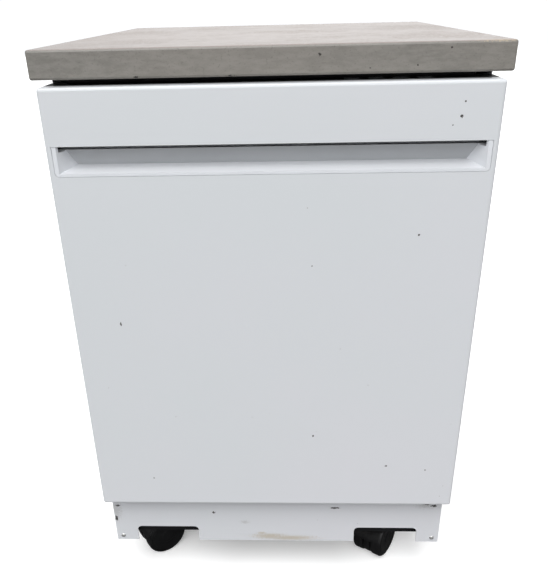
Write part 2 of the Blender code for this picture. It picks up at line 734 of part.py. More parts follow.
def make_spray_tube():
    """The riser up the tub's back wall, which meets the upper rack's feed tube when the rack is in."""
    y = behind(TUB_BACK - SPRAY_TUBE_RADIUS - 0.003)
    dock_y = behind(RACK_FRONT + RACK_DEPTH + 0.006)
    low, high = TUB_FLOOR + TUB_CORNER, UPPER_ARM_TOP + SPRAY_TUBE_RADIUS
    bend = SPRAY_TUBE_RADIUS
    path = [
        (0, y, low), (0, y, high - bend), (0, y - bend / 3, high - bend / 3), (0, y - bend, high),
        (0, dock_y, high),
    ]
    finish(tube("spray_tube", path, SPRAY_TUBE_RADIUS, sides_each_way=2), GREY_PLASTIC)


def make_fill_valve():
    """The inlet valve on the base pan: a block, with its solenoid coil on top."""
    width, depth, height = VALVE_SIZE
    x = -BASE_HALF + VALVE_SIDE
    back = BASE_BACK - VALVE_REAR
    low = BASE_FLOOR + BASE_SHEET + FIT
    block = box("fill_valve", (x, x + width), (back - depth, back), (low, low + height / 2))
    middle = (x + width / 2, behind(back - depth / 2))
    coil = rod("valve_coil", (*middle, low + height / 3), (*middle, low + height), depth / 3)
    finish(join(block, coil), WHITE_PLASTIC)


def spray_arm(name, underside, bore_radius, bore_from_below):
    """A spray arm: two tapering blades and a hub with a blind bore for its post, about the wash axis."""
    half, tip = ARM_LENGTH / 2, ARM_WIDTH / 4
    outline = rounded([
        (-half, -tip, tip * 0.9), (0, -ARM_WIDTH / 2, ARM_LENGTH / 4),
        (half, -tip, tip * 0.9), (half, tip, tip * 0.9), (0, ARM_WIDTH / 2, ARM_LENGTH / 4),
        (-half, tip, tip * 0.9),
    ], steps=2)
    blades = plate(name, outline, "XY", (-ARM_THICKNESS / 2, ARM_THICKNESS / 2))
    bevel(blades, ARM_THICKNESS / 5, segments=1, angle=60)
    hub_end = ARM_THICKNESS * 0.75
    hub = rod(f"{name}_hub", (0, 0, -hub_end), (0, 0, hub_end), ARM_HUB_RADIUS, sides=20)
    join(blades, hub)
    ends = (-ARM_THICKNESS, ARM_BORE_END) if bore_from_below else (-ARM_BORE_END, ARM_THICKNESS)
    bore = rod(f"{name}_bore", (0, 0, ends[0]), (0, 0, ends[1]), bore_radius, sides=16)
    for helper in (hub, bore):
        helper.parent = blades
    cut(blades, bore)
    blades.location = (0, behind(WASH_CENTRE), underside + ARM_THICKNESS / 2)
    return blades


# ---- Door -------------------------------------------------------------------------------------


def window_outline(shrink):
    """The handle window, smaller by shrink all round, with its two lower corners rounded."""
    half, low, high = WINDOW_HALF - shrink, WINDOW_BOTTOM + shrink, WINDOW_TOP - shrink
    radius = WINDOW_CORNER - shrink
    return rounded([(-half, low, radius), (half, low, radius), (half, high, 0), (-half, high, 0)])


def make_door_skin(door):
    """The outer door, one steel sheet folded back all round, with the window for the handle insert."""
    half = DOOR_WIDTH / 2
    skin = box("door_skin", (-half, half), (0, SKIN_RETURN), (DOOR_BOTTOM, DOOR_TOP))
    bm = bmesh.new()
    bm.from_mesh(skin.data)
    back = max(bm.faces, key=lambda face: face.calc_center_median().y)
    bmesh.ops.delete(bm, geom=[back], context="FACES_ONLY")
    bm.to_mesh(skin.data)
    bm.free()
    bevel(skin, SKIN_EDGE_RADIUS, segments=3)
    shell = skin.modifiers.new("sheet", "SOLIDIFY")
    shell.thickness = SKIN_WALL
    shell.offset = -1
    shell.use_even_offset = True
    span = (behind(-DOOR_CUTTER_REACH), behind(DOOR_CUTTER_REACH))
    window = plate("handle_window", window_outline(0), "XZ", span)
    cut(skin, window)
    notch = (BRACKET_INNER - BRACKET_CLEARANCE, BRACKET_OUTER + BRACKET_CLEARANCE)
    for side in (-1, 1):
        cut(skin, box(
            "bracket_notch", sorted(side * x for x in notch), (SKIN_EDGE_RADIUS, SKIN_RETURN * 2),
            (DOOR_BOTTOM - DOOR_CUTTER_REACH, DOOR_BOTTOM + 2 * SKIN_WALL),
        ))
    finish(skin, WHITE_ENAMEL, door)


def make_hinge_bracket(name, side):
    """A steel bar from the base pan forward to the hinge axis, ending in the pin."""
    radius = BRACKET_HEIGHT / 2
    low, high = HINGE_Z - radius, HINGE_Z + radius
    foot = BASE_FLOOR + BASE_SHEET + FIT
    knee = TUB_FRONT + BRACKET_KNEE
    heel = knee + BRACKET_LEG
    outline = rounded([
        (behind(HINGE_DEPTH - radius), low, radius * 0.95), (behind(knee), low, radius / 2),
        (behind(knee), foot, 0), (behind(heel), foot, 0), (behind(heel), high, radius / 2),
        (behind(HINGE_DEPTH - radius), high, radius * 0.95),
    ])
    bracket = plate(name, outline, "YZ", sorted((side * BRACKET_INNER, side * BRACKET_OUTER)))
    start = side * (BRACKET_OUTER - BRACKET_SHEET / 3)
    end = side * (BRACKET_OUTER + BRACKET_CLEARANCE + HINGE_ARM_SHEET)
    pin = rod(
        f"{name}_pin", (start, behind(HINGE_DEPTH), HINGE_Z), (end, behind(HINGE_DEPTH), HINGE_Z),
        HINGE_PIN_RADIUS, sides=12,
    )
    finish(join(bracket, pin), ZINC)


def make_hinge_arm(name, side, door):
    """The strap inside the door's side that carries the door on the hinge pin."""
    inner = BRACKET_OUTER + BRACKET_CLEARANCE
    low, high = HINGE_Z - HINGE_ARM_WIDTH / 2, HINGE_Z + HINGE_ARM_LENGTH
    front, back = HINGE_DEPTH - HINGE_ARM_WIDTH / 2, HINGE_DEPTH + HINGE_ARM_WIDTH / 2
    radius = HINGE_ARM_WIDTH / 2 * 0.95
    outline = rounded([
        (behind(front), low, radius), (behind(back), low, radius), (behind(back), high, 0),
        (behind(front), high, 0),
    ])
    arm = plate(name, outline, "YZ", sorted((side * inner, side * (inner + HINGE_ARM_SHEET))))
    ends = [
        (side * (inner + reach), behind(HINGE_DEPTH), HINGE_Z)
        for reach in (-2 * HINGE_ARM_SHEET, 3 * HINGE_ARM_SHEET)
    ]
    cut(arm, rod("hinge_hole", *ends, HINGE_PIN_RADIUS + HINGE_PIN_CLEARANCE, sides=12))
    finish(arm, ZINC, door)


def make_handle_insert(door):
    """The moulded pocket: a lip in the window, a groove with mitred ends, and a finger cavity above."""
    lip_face, block_face = FIT, SKIN_WALL + FIT
    block_back = SKIN_RETURN - FIT
    span = (behind(lip_face), behind(block_face + HANDLE_WALL))
    plug = plate("handle_insert", window_outline(2 * FIT), "XZ", span)
    side = WINDOW_HALF + WINDOW_MARGIN / 2
    block = box(
        "handle_block", (-side, side), (block_face, block_back),
        (WINDOW_BOTTOM - WINDOW_MARGIN, WINDOW_TOP + HANDLE_CAVITY_RISE + HANDLE_WALL),
    )
    join(plug, block)
    pocket_half = WINDOW_HALF - HANDLE_LIP_SIDE
    lip_top = WINDOW_BOTTOM + HANDLE_LIP_BOTTOM
    crease_z = lip_top + HANDLE_CREASE_RISE
    slope_top = crease_z + HANDLE_CREASE_DEPTH * HANDLE_UPPER_SLOPE
    cut(plug, groove_cutter(pocket_half, lip_top, slope_top, crease_z))
    end_z = crease_z + (HANDLE_CREASE_DEPTH - HANDLE_FINGER_DEPTH) * HANDLE_UPPER_SLOPE
    normal = Vector((HANDLE_UPPER_SLOPE, 1)).normalized() * HANDLE_WALL
    slope_end = Vector((HANDLE_FINGER_DEPTH, end_z))
    outer_end = slope_end + normal
    inner_end = slope_end - 2 * normal
    rear = block_back - HANDLE_WALL / 2
    rear_z = outer_end.y - (rear - outer_end.x) * HANDLE_UPPER_SLOPE
    top = WINDOW_TOP + HANDLE_CAVITY_RISE
    front = block_face + HANDLE_WALL * 0.7
    outline = [
        (behind(depth), z)
        for depth, z in (
            (front, inner_end.y), (inner_end.x, inner_end.y), (outer_end.x, outer_end.y),
            (rear, rear_z), (rear, top), (front, top),
        )
    ]
    cut(plug, plate("finger_cavity", outline, "YZ", (-pocket_half, pocket_half)))
    finish(plug, WHITE_PLASTIC, door)


def groove_cutter(half, low, high, crease_z):
    """A wedge whose four slopes run from the pocket's opening to the crease, carried on past the opening."""
    overrun = 0.2
    bm = bmesh.new()
    bmesh.ops.create_cube(bm, size=2)
    for corner in bm.verts:
        x_side, rear, upper = corner.co.x, corner.co.y > 0, corner.co.z > 0
        crease = Vector((x_side * (half - HANDLE_CREASE_SET_IN), behind(HANDLE_CREASE_DEPTH), crease_z))
        opening = Vector((x_side * half, behind(0), high if upper else low))
        corner.co = crease if rear else opening + (opening - crease) * overrun
    bmesh.ops.remove_doubles(bm, verts=bm.verts, dist=1e-6)
    bmesh.ops.recalc_face_normals(bm, faces=bm.faces)
    return new_object("handle_groove", mesh_from(bm, "handle_groove"))


def make_inner_door(door):
    """The inner door, a shallow tray turned towards the skin, with a hole for the dispenser."""
    front, back = SKIN_RETURN + FIT, DOOR_THICKNESS
    low, high = DOOR_BOTTOM + SKIN_EDGE_RADIUS, CONSOLE_BOTTOM - FIT
    wall = INNER_DOOR_WALL
    tray = box("inner_door", (-INNER_HALF, INNER_HALF), (front, back), (low, high))
    inside = box(
        "inner_door_inside", (-INNER_HALF + wall, INNER_HALF - wall),
        (front - DOOR_CUTTER_REACH, back - wall),
        (low + wall, high - wall),
    )
    width, height = DISPENSER_SIZE
    hole = box(
        "dispenser_hole", (-width / 2, width / 2), (back - 3 * wall, back + 3 * wall),
        (DISPENSER_Z - height / 2, DISPENSER_Z + height / 2),
    )
    cut(tray, inside, hole)
    finish(tray, TUB_PLASTIC, door)


def make_console(door):
    """The control strip on the door's top edge, hollow below, with button pockets and the latch slot."""
    half = DOOR_WIDTH / 2 - CONSOLE_SIDE_MARGIN
    front, back = SKIN_RETURN + FIT, DOOR_THICKNESS
    console = box("control_console", (-half, half), (front, back), (CONSOLE_BOTTOM, DOOR_TOP))
    inside = box(
        "console_inside", (-half + CONSOLE_WALL, half - CONSOLE_WALL),
        (front + CONSOLE_WALL, back - CONSOLE_WALL),
        (CONSOLE_BOTTOM - DOOR_CUTTER_REACH, DOOR_TOP - CONSOLE_TOP_WALL),
    )
    slot_half = STRIKE_HALF + 1.5 * LATCH_ROOM
    slot_rise = STRIKE_THICKNESS + LATCH_ROOM
    slot = box(
        "latch_slot", (-slot_half, slot_half), (back - 2 * CONSOLE_WALL, back + DOOR_CUTTER_REACH),
        (STRIKE_Z - slot_rise, STRIKE_Z + slot_rise),
    )
    cut(console, inside, slot)
    width, depth, height = (size + 2 * BUTTON_CLEARANCE for size in BUTTON_SIZE)
    floor = DOOR_TOP + BUTTON_PROUD - BUTTON_SIZE[2] - BUTTON_TRAVEL - BUTTON_CLEARANCE
    for x in button_places():
        middle = (front + back) / 2
        pocket = box(
            "button_pocket", (x - width / 2, x + width / 2),
            (middle - depth / 2, middle + depth / 2), (floor, DOOR_TOP + height),
        )
        cut(console, pocket)
    finish(console, BLACK_PLASTIC, door)


def button_places():
    return [BUTTON_FIRST_X + index * BUTTON_PITCH for index in range(BUTTON_COUNT)]


def make_buttons(door):
    width, depth, height = BUTTON_SIZE
    middle = (SKIN_RETURN + FIT + DOOR_THICKNESS) / 2
    top = DOOR_TOP + BUTTON_PROUD
    for number, x in enumerate(button_places(), start=1):
        button = box(
            f"console_button_{number}", (x - width / 2, x + width / 2),
            (middle - depth / 2, middle + depth / 2), (top - height, top),
        )
        finish(bevel(button, SMALL_EDGE, segments=1), BUTTON_PLASTIC, door)


def make_strike():
    """The steel tongue on the front cross bar that the door's latch closes on."""
    tip = DOOR_THICKNESS - STRIKE_REACH
    stem_back = BRACE_FRONT - FIT
    low, high = STRIKE_Z - STRIKE_THICKNESS / 2, STRIKE_Z + STRIKE_THICKNESS / 2
    stem_front, top = stem_back - STRIKE_THICKNESS, WORKTOP_BOTTOM - FIT
    outline = [
        (behind(tip), low), (behind(stem_back), low), (behind(stem_back), top),
        (behind(stem_front), top), (behind(stem_front), high), (behind(tip), high),
    ]
    finish(plate("door_strike", outline, "YZ", (-STRIKE_HALF, STRIKE_HALF)), STEEL)


def make_latch(door):
    """The latch body in the console: a block with a mouth that the strike enters."""
    back = DOOR_THICKNESS - CONSOLE_WALL - FIT
    front = SKIN_RETURN + CONSOLE_WALL + 2 * FIT
    mouth_half, mouth_rise = STRIKE_HALF + LATCH_ROOM, STRIKE_THICKNESS + LATCH_ROOM / 2
    half = mouth_half + LATCH_WALL
    low, high = CONSOLE_BOTTOM + FIT, DOOR_TOP - CONSOLE_TOP_WALL - FIT
    body = box("door_latch", (-half, half), (front, back), (low, high))
    mouth = box(
        "latch_mouth", (-mouth_half, mouth_half), (front + LATCH_WALL, back + DOOR_CUTTER_REACH),
        (STRIKE_Z - mouth_rise, STRIKE_Z + mouth_rise),
    )
    finish(cut(body, mouth), GREY_PLASTIC, door)


def make_dispenser(door):
    """The detergent dispenser: its housing in the inner door, the sliding lid and the rinse-aid cap."""
    width, height = (size / 2 - FIT for size in DISPENSER_SIZE)
    face = DOOR_THICKNESS
    housing = box(
        "dispenser_body", (-width, width), (face - DISPENSER_DEPTH, face),
        (DISPENSER_Z - height, DISPENSER_Z + height),
    )
    cup_half, cup_height = CUP_SIZE[0] / 2, CUP_SIZE[1] / 2
    cup = box(
        "detergent_cup", (CUP_X - cup_half, CUP_X + cup_half),
        (face - DISPENSER_DEPTH + DISPENSER_WALL, face + DOOR_CUTTER_REACH),
        (DISPENSER_Z - cup_height, DISPENSER_Z + cup_height),
    )
    bevel(cup, CUP_CORNER, segments=2)
    finish(cut(housing, cup), GREY_PLASTIC, door)
    lid_half, lid_height = cup_half + LID_OVERLAP, cup_height + LID_OVERLAP
    lid = box(
        "dispenser_lid", (CUP_X - lid_half, CUP_X + lid_half), (face + FIT, face + FIT + LID_THICKNESS),
        (DISPENSER_Z - lid_height, DISPENSER_Z + lid_height),
    )
    finish(bevel(lid, SMALL_EDGE, segments=1), TUB_PLASTIC, door)
    thickness = RINSE_CAP_THICKNESS
    profile = [
        (0, thickness), (RINSE_CAP_RADIUS * 0.9, thickness), (RINSE_CAP_RADIUS, thickness / 2),
        (RINSE_CAP_RADIUS, 0), (0, 0),
    ]
    cap = turned("rinse_cap", profile, (RINSE_CAP_X, behind(face + FIT), DISPENSER_Z), sides=20)
    cap.rotation_euler = (-math.pi / 2, 0, 0)
    finish(cap, BLACK_PLASTIC, door)


# ---- Racks ------------------------------------------------------------------------------------


def cell_boxes(name, spans, counts, bar):
    """One cutter holding a box for every cell of a grid, with a bar's width left between neighbours."""
    sides = []
    for (low, high), count in zip(spans, counts):
        pitch = (high - low + bar) / count
        starts = [low + step * pitch for step in range(count)]
        ends = [low + (step + 1) * pitch - bar for step in range(count - 1)] + [high]
        sides.append(list(zip(starts, ends)))
    bm = bmesh.new()
    for cell in itertools.product(*sides):
        for vert in bmesh.ops.create_cube(bm, size=1)["verts"]:
            vert.co = [end if at > 0 else start for at, (start, end) in zip(vert.co, cell)]
    return new_object(name, mesh_from(bm, name))


def make_rack(name, rise, height):
    """A wire basket: an open-topped box whose floor and four sides are cut through to a grid of bars."""
    bottom, bar, half = TUB_FLOOR + rise, RACK_WIRE, RACK_HALF_WIDTH
    top = bottom + height
    front, back = behind(RACK_FRONT), behind(RACK_FRONT + RACK_DEPTH)
    across, along, upright = (-half + bar, half - bar), (front + bar, back - bar), (bottom + bar, top - bar)
    rack = cell_boxes(name, ((-half, half), (front, back), (bottom, top)), (1, 1, 1), bar)
    inside = cell_boxes(f"{name}_inside", (across, along, (bottom + bar, top + height)), (1, 1, 1), bar)
    wide = (-2 * half, 2 * half)
    deep = (front - 2 * bar, back + 2 * bar)
    floor = (bottom - bar, bottom + 2 * bar)
    cut(
        rack, inside,
        cell_boxes(f"{name}_floor_cells", (across, along, floor), (RACK_CELLS, RACK_CELLS, 1), bar),
        cell_boxes(f"{name}_end_cells", (across, deep, upright), (RACK_CELLS, 1, 2), bar),
        cell_boxes(f"{name}_side_cells", (wide, along, upright), (1, RACK_CELLS, 2), bar),
    )
    return rack


def make_lower_rack():
    slide = pivot("lower_rack_slide", (0, behind(RACK_FRONT + RACK_DEPTH / 2), TUB_FLOOR + LOWER_RACK_RISE))
    rack = make_rack("lower_rack", LOWER_RACK_RISE, LOWER_RACK_HEIGHT)
    bottom = TUB_FLOOR + LOWER_RACK_RISE
    wheel_z = TUB_FLOOR + 2 * FIT + RACK_WHEEL_RADIUS
    ends = (RACK_FRONT + RACK_WHEEL_ENDS, RACK_FRONT + RACK_DEPTH - RACK_WHEEL_ENDS)
    wheel_inner = RACK_HALF_WIDTH + RACK_WHEEL_GAP
    proud, hanger_half = RACK_HANGER[0], RACK_HANGER[1] / 2
    bore, edge, width = RACK_AXLE_RADIUS + RACK_AXLE_CLEARANCE, RACK_WHEEL_EDGE, RACK_WHEEL_WIDTH
    for side, hand in ((-1, "left"), (1, "right")):
        for depth, end in zip(ends, ("front", "rear")):
            y = behind(depth)
            hanger_x = (side * (RACK_HALF_WIDTH - RACK_WIRE / 2), side * (RACK_HALF_WIDTH + proud))
            hanger = box(
                "wheel_hanger", sorted(hanger_x), (depth - hanger_half, depth + hanger_half),
                (wheel_z - hanger_half, bottom + RACK_WIRE * 0.7),
            )
            axle_end = wheel_inner + width + RACK_WHEEL_EDGE
            axle = rod(
                "wheel_axle", (side * RACK_HALF_WIDTH, y, wheel_z), (side * axle_end, y, wheel_z),
                RACK_AXLE_RADIUS, sides=8,
            )
            join(rack, hanger, axle)
            profile = [
                (bore, width), (RACK_WHEEL_RADIUS - edge, width), (RACK_WHEEL_RADIUS, width - edge),
                (RACK_WHEEL_RADIUS, edge), (RACK_WHEEL_RADIUS - edge, 0), (bore, 0),
            ]
            place = (side * wheel_inner, y, wheel_z)
            wheel = turned(f"rack_wheel_{end}_{hand}", profile, place, sides=16)
            wheel.rotation_euler = (0, side * math.pi / 2, 0)
            finish(wheel, GREY_PLASTIC, slide)
    finish(rack, RACK_VINYL, slide)
    make_silverware_basket(bottom + RACK_WIRE + BASKET_LIFT, slide)


def make_silverware_basket(bottom, slide):
    """The cutlery basket in the lower rack: an open box with one wall across its middle."""
    width, length, height = BASKET_SIZE
    outer = RACK_HALF_WIDTH - RACK_WIRE - BASKET_CLEARANCE
    x = (outer - width, outer)
    front = RACK_FRONT + BASKET_FRONT
    depth = (front, front + length)
    basket = box("silverware_basket", x, depth, (bottom, bottom + height))
    wall = BASKET_WALL
    middle = front + length / 2
    for start, end in ((depth[0] + wall, middle - wall / 2), (middle + wall / 2, depth[1] - wall)):
        cut(basket, box(
            "basket_pocket", (x[0] + wall, x[1] - wall), (start, end),
            (bottom + wall, bottom + 2 * height),
        ))
    finish(basket, GREY_PLASTIC, slide)


def make_upper_rack():
    """The upper rack with its side runners, its feed tube and the post of the middle spray arm."""
    slide = pivot("upper_rack_slide", (0, behind(RACK_FRONT + RACK_DEPTH / 2), TUB_FLOOR + UPPER_RACK_RISE))
    rack = make_rack("upper_rack", UPPER_RACK_RISE, UPPER_RACK_HEIGHT)
    rail_inner = TUB_HALF_WIDTH - FIT - RAIL_SIZE[0]
    rear = RACK_FRONT + RACK_DEPTH - RUNNER_REAR
    for side in (-1, 1):
        x = (side * (RACK_HALF_WIDTH - RACK_WIRE / 2), side * (rail_inner - RUNNER_CLEARANCE))
        join(rack, box(
            "rack_runner", sorted(x), (rear - RUNNER_LENGTH, rear),
            (RAIL_Z - RAIL_SIZE[1] * 0.3, RAIL_Z + RAIL_SIZE[1] * 0.3),
        ))
    finish(rack, RACK_VINYL, slide)
    z = UPPER_ARM_TOP + SPRAY_TUBE_RADIUS
    y, back = behind(WASH_CENTRE), behind(RACK_FRONT + RACK_DEPTH)
    feed = tube("feed_tube", [(0, back, z), (0, y - ARM_HUB_RADIUS, z)], SPRAY_TUBE_RADIUS)
    post_end = (0, y, UPPER_ARM_TOP - ARM_THICKNESS * 1.1)
    post = rod("feed_post", (0, y, z), post_end, FEED_POST_RADIUS, sides=12)
    finish(join(feed, post), GREY_PLASTIC, slide)
    underside, bore = UPPER_ARM_TOP - ARM_THICKNESS * 1.75, FEED_POST_RADIUS + ARM_BORE_CLEARANCE
    arm = spray_arm("middle_spray_arm", underside, bore, bore_from_below=False)
    finish(arm, GREY_PLASTIC, slide)


def make_rail(name, side):
    """A fixed rail on the tub's side wall beside the upper rack, open towards the rack."""
    width, height = RAIL_SIZE
    outer = TUB_HALF_WIDTH - FIT
    depth = (TUB_FRONT + RAIL_FRONT, TUB_BACK - TUB_CORNER - RAIL_REAR)
    x = sorted((side * (outer - width), side * outer))
    rail = box(name, x, depth, (RAIL_Z - height / 2, RAIL_Z + height / 2))
    groove_x = sorted((side * (outer - width * 1.5), side * (outer - width * 0.4)))
    groove = box(
        f"{name}_groove", groove_x, (depth[0] - width, depth[1] - width),
        (RAIL_Z - height * 0.33, RAIL_Z + height * 0.33),
    )
    finish(cut(rail, groove), STEEL)


# ---- Casters ----------------------------------------------------------------------------------


def caster_places():
    """Each caster's swivel axis, as X and Y."""
    rear = PANEL_BACK - CASTER_REAR_MARGIN
    return {
        f"{end}_{hand}": (side * CASTER_X, behind(depth))
        for end, depth in (("front", CASTER_FRONT_DEPTH), ("rear", rear))
        for hand, side in (("left", -1), ("right", 1))
    }


def make_caster(place, x, y):
    """A twin-wheel caster: a hood with its stem and axle on a swivel, and a wheel on each side."""
    swivel = pivot(f"caster_swivel_{place}", (x, y, 0))
    swivel.rotation_euler = (0, 0, -math.radians(CASTER_TURNS[place]))
    centre, across = Vector((0, -CASTER_TRAIL, WHEEL_RADIUS)), Vector((1, 0, 0))
    half, core_half = CASTER_WIDTH / 2, CASTER_CORE / 2
    wheel_width = half - core_half - WHEEL_CLEARANCE
    well_radius = WHEEL_RADIUS + WHEEL_CLEARANCE
    hood_radius = well_radius + HOOD_WALL

    def cross_rod(name, start, end, radius, sides):
        return rod(name, centre + across * start, centre + across * end, radius, sides)

    hood = cross_rod(f"caster_hood_{place}", -half, half, hood_radius, 24)
    below = local_box(
        "hood_lower_part", (0, -CASTER_TRAIL, WHEEL_RADIUS + HOOD_EDGE_RISE - hood_radius),
        (3 * half, 4 * hood_radius, 2 * hood_radius),
    )
    wells = [
        cross_rod("wheel_well", side * core_half, side * 1.3 * half, well_radius, 24)
        for side in (-1, 1)
    ]
    core = cross_rod("caster_core", -0.998 * core_half, 0.998 * core_half, WHEEL_RADIUS * 0.86, 16)
    axle_half = half - wheel_width * 0.35
    axle = cross_rod("caster_axle", -axle_half, axle_half, AXLE_RADIUS, 10)
    boss_top = (0, 0, BASE_FLOOR - 2 * FIT)
    boss = rod("stem_boss", (0, 0, WHEEL_RADIUS * 1.55), boss_top, STEM_RADIUS * 2, sides=16)
    relief = cross_rod("boss_relief", -half, half, well_radius, 24)
    stem_top = (0, 0, BASE_FLOOR + STEM_RISE)
    stem = rod("caster_stem", (0, 0, BASE_FLOOR - STEM_RADIUS), stem_top, STEM_RADIUS, sides=12)
    cut(boss, relief)
    cut(hood, *wells, below)
    join(hood, core, axle, boss, stem)
    for helper in (*wells, below, core, axle, boss, relief, stem):
        helper.parent = swivel
    finish_in(hood, BLACK_PLASTIC, swivel)
    bore, hub = AXLE_RADIUS + AXLE_CLEARANCE, wheel_width * 0.75
    radius = WHEEL_RADIUS / math.cos(math.pi / WHEEL_SIDES)
    profile = [
        (0, wheel_width), (radius * 0.86, wheel_width), (radius, hub), (radius, wheel_width * 0.08),
        (radius * 0.97, 0), (bore, 0), (bore, hub), (0, hub),
    ]
    for side, hand in ((-1, "left"), (1, "right")):
        start = centre + across * side * (core_half + WHEEL_CLEARANCE)
        wheel = turned(f"caster_wheel_{place}_{hand}", profile, start, sides=WHEEL_SIDES)
        wheel.rotation_euler = (0, side * math.pi / 2, 0)
        finish_in(wheel, RUBBER, swivel)


def local_box(name, centre, size):
    bm = bmesh.new()
    bmesh.ops.create_cube(bm, size=1)
    bmesh.ops.scale(bm, vec=size, verts=bm.verts)
    return new_object(name, mesh_from(bm, name), centre)


def finish_in(obj, material, parent):
    """Finishes a piece that was placed in its parent's own frame."""
    finish(obj, material)
    obj.parent = parent


# ---- The machine ------------------------------------------------------------------------------


def make_machine():
    make_worktop()
    for hand, side in (("left", -1), ("right", 1)):
        make_side_panel(f"side_panel_{hand}", side)
        make_hinge_bracket(f"hinge_bracket_{hand}", side)
        make_rail(f"rack_rail_{hand}", side)
    make_back_panel()
    make_gland("power_gland", POWER_GLAND_X, POWER_GLAND_RADIUS, POWER_GLAND_RADIUS * 0.5)
    make_gland("hose_gland", HOSE_GLAND_X, HOSE_GLAND_RADIUS, HOSE_GLAND_RADIUS * 0.7)
    make_brace("top_brace_front", BRACE_FRONT)
    make_brace("top_brace_rear", PANEL_BACK - BRACE_SIZE[0] - BRACE_REAR_MARGIN)
    make_base_frame()
    make_toe_kick()
    make_tub()
    make_gasket()
    make_sump()
    make_filter_cup()
    make_heating_element()
    make_pump("circulation_pump", PUMP_RADIUS, PUMP_LENGTH, 1)
    make_pump("drain_pump", DRAIN_PUMP_RADIUS, DRAIN_PUMP_LENGTH, -1)
    make_spray_tube()
    make_fill_valve()
    make_strike()
    post_bore = SUMP_POST_RADIUS + ARM_BORE_CLEARANCE
    lower_arm = spray_arm("lower_spray_arm", ARM_BOTTOM, post_bore, bore_from_below=True)
    finish(lower_arm, GREY_PLASTIC)
    door = pivot("door_hinge", (0, behind(HINGE_DEPTH), HINGE_Z))
    make_door_skin(door)
    make_handle_insert(door)
    make_inner_door(door)
    make_console(door)
    make_buttons(door)
    make_latch(door)
    make_dispenser(door)
    for hand, side in (("left", -1), ("right", 1)):
        make_hinge_arm(f"hinge_arm_{hand}", side, door)
    make_lower_rack()
    make_upper_rack()
    for place, (x, y) in caster_places().items():
        make_caster(place, x, y)


make_machine()
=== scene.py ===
# %% [markdown]
# # A portable dishwasher, dressed piece by piece
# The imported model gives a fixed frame: sixty plain pieces that already move on their joints. This
# lesson gives them their finishes, and replaces those whose real shape is finer than the frame's,
# such as the wire racks and the caster wheels. Places are read from the frame, in metres.

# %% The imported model
import json
import math

import bmesh
import bpy
from mathutils import Matrix, Vector


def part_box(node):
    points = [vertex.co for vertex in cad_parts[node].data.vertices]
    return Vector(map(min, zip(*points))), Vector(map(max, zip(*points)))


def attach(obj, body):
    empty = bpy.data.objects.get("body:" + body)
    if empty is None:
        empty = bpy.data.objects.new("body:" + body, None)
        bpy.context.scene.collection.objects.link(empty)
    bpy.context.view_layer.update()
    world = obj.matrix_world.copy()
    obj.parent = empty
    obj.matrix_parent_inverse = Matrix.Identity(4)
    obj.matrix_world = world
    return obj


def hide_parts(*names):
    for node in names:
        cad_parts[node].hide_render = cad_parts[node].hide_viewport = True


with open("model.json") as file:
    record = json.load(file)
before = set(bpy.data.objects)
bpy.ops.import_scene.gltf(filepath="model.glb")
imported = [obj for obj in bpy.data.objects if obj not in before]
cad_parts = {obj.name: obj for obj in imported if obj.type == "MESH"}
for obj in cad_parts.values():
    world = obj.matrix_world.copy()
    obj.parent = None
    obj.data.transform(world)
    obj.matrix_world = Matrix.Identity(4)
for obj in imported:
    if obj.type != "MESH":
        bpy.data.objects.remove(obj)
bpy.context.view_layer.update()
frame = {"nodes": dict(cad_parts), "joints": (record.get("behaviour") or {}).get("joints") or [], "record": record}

NODES = frame["nodes"]

# %% [markdown]
# The camera stands just above the worktop and looks down the front of the machine. Its place and
# turn are set as one matrix, whose columns are the camera's right, up and backward directions.
# A small shift of the lens sets where the machine stands in the frame.

# %% Camera
CAMERA_PLACE = Vector((0.0241, -1.26035, 0.98925))
CAMERA_PITCH, CAMERA_YAW, CAMERA_ROLL = -0.4664, -0.0465, -0.0254
FOCAL_SIDES = 1.148524  # the focal length over the frame's longer side
SENSOR_MM, LENS_SHIFT = 36, (0.0231, 0.0774)


def camera_matrix():
    """The camera's matrix from its pitch, yaw and roll."""
    ahead = Vector((
        math.sin(CAMERA_YAW) * math.cos(CAMERA_PITCH),
        math.cos(CAMERA_YAW) * math.cos(CAMERA_PITCH), math.sin(CAMERA_PITCH),
    ))
    level = Vector((math.cos(CAMERA_YAW), -math.sin(CAMERA_YAW), 0))
    upward = level.cross(ahead)
    right = math.cos(CAMERA_ROLL) * level + math.sin(CAMERA_ROLL) * upward
    up = math.cos(CAMERA_ROLL) * upward - math.sin(CAMERA_ROLL) * level
    turn = Matrix((right, up, -ahead)).transposed().to_4x4()
    return Matrix.Translation(CAMERA_PLACE) @ turn


lens_data = bpy.data.cameras.new("front_camera")
lens_data.sensor_width = SENSOR_MM
lens_data.lens = SENSOR_MM * FOCAL_SIDES
lens_data.shift_x, lens_data.shift_y = LENS_SHIFT
camera = bpy.data.objects.new("front_camera", lens_data)
camera.matrix_world = camera_matrix()
bpy.context.scene.collection.objects.link(camera)
bpy.context.scene.camera = camera
print("lens", round(lens_data.lens, 2), "mm")

# %% [markdown]
# Every finish is a node tree. These small helpers keep the trees readable: the first adds a node
# and sets its values, and the others add the few that are used most.

# %% Node helpers


def step_node(tree, kind, link=None, **values):
    """A node with its named properties, then its named or numbered inputs, set or linked."""
    node = tree.nodes.new(kind)
    for name, value in values.items():
        setattr(node, name, value)
    for name, value in (link or {}).items():
        if isinstance(value, bpy.types.NodeSocket):
            tree.links.new(value, node.inputs[name])
        else:
            node.inputs[name].default_value = value
    return node


def add(tree, kind, link=None, **values):
    """The same for a shader node, whose kind is said without its prefix."""
    return step_node(tree, "ShaderNode" + kind, link, **values)


def here(tree):
    """The place of a point in its own object's coordinates."""
    return add(tree, "TexCoord").outputs["Object"]


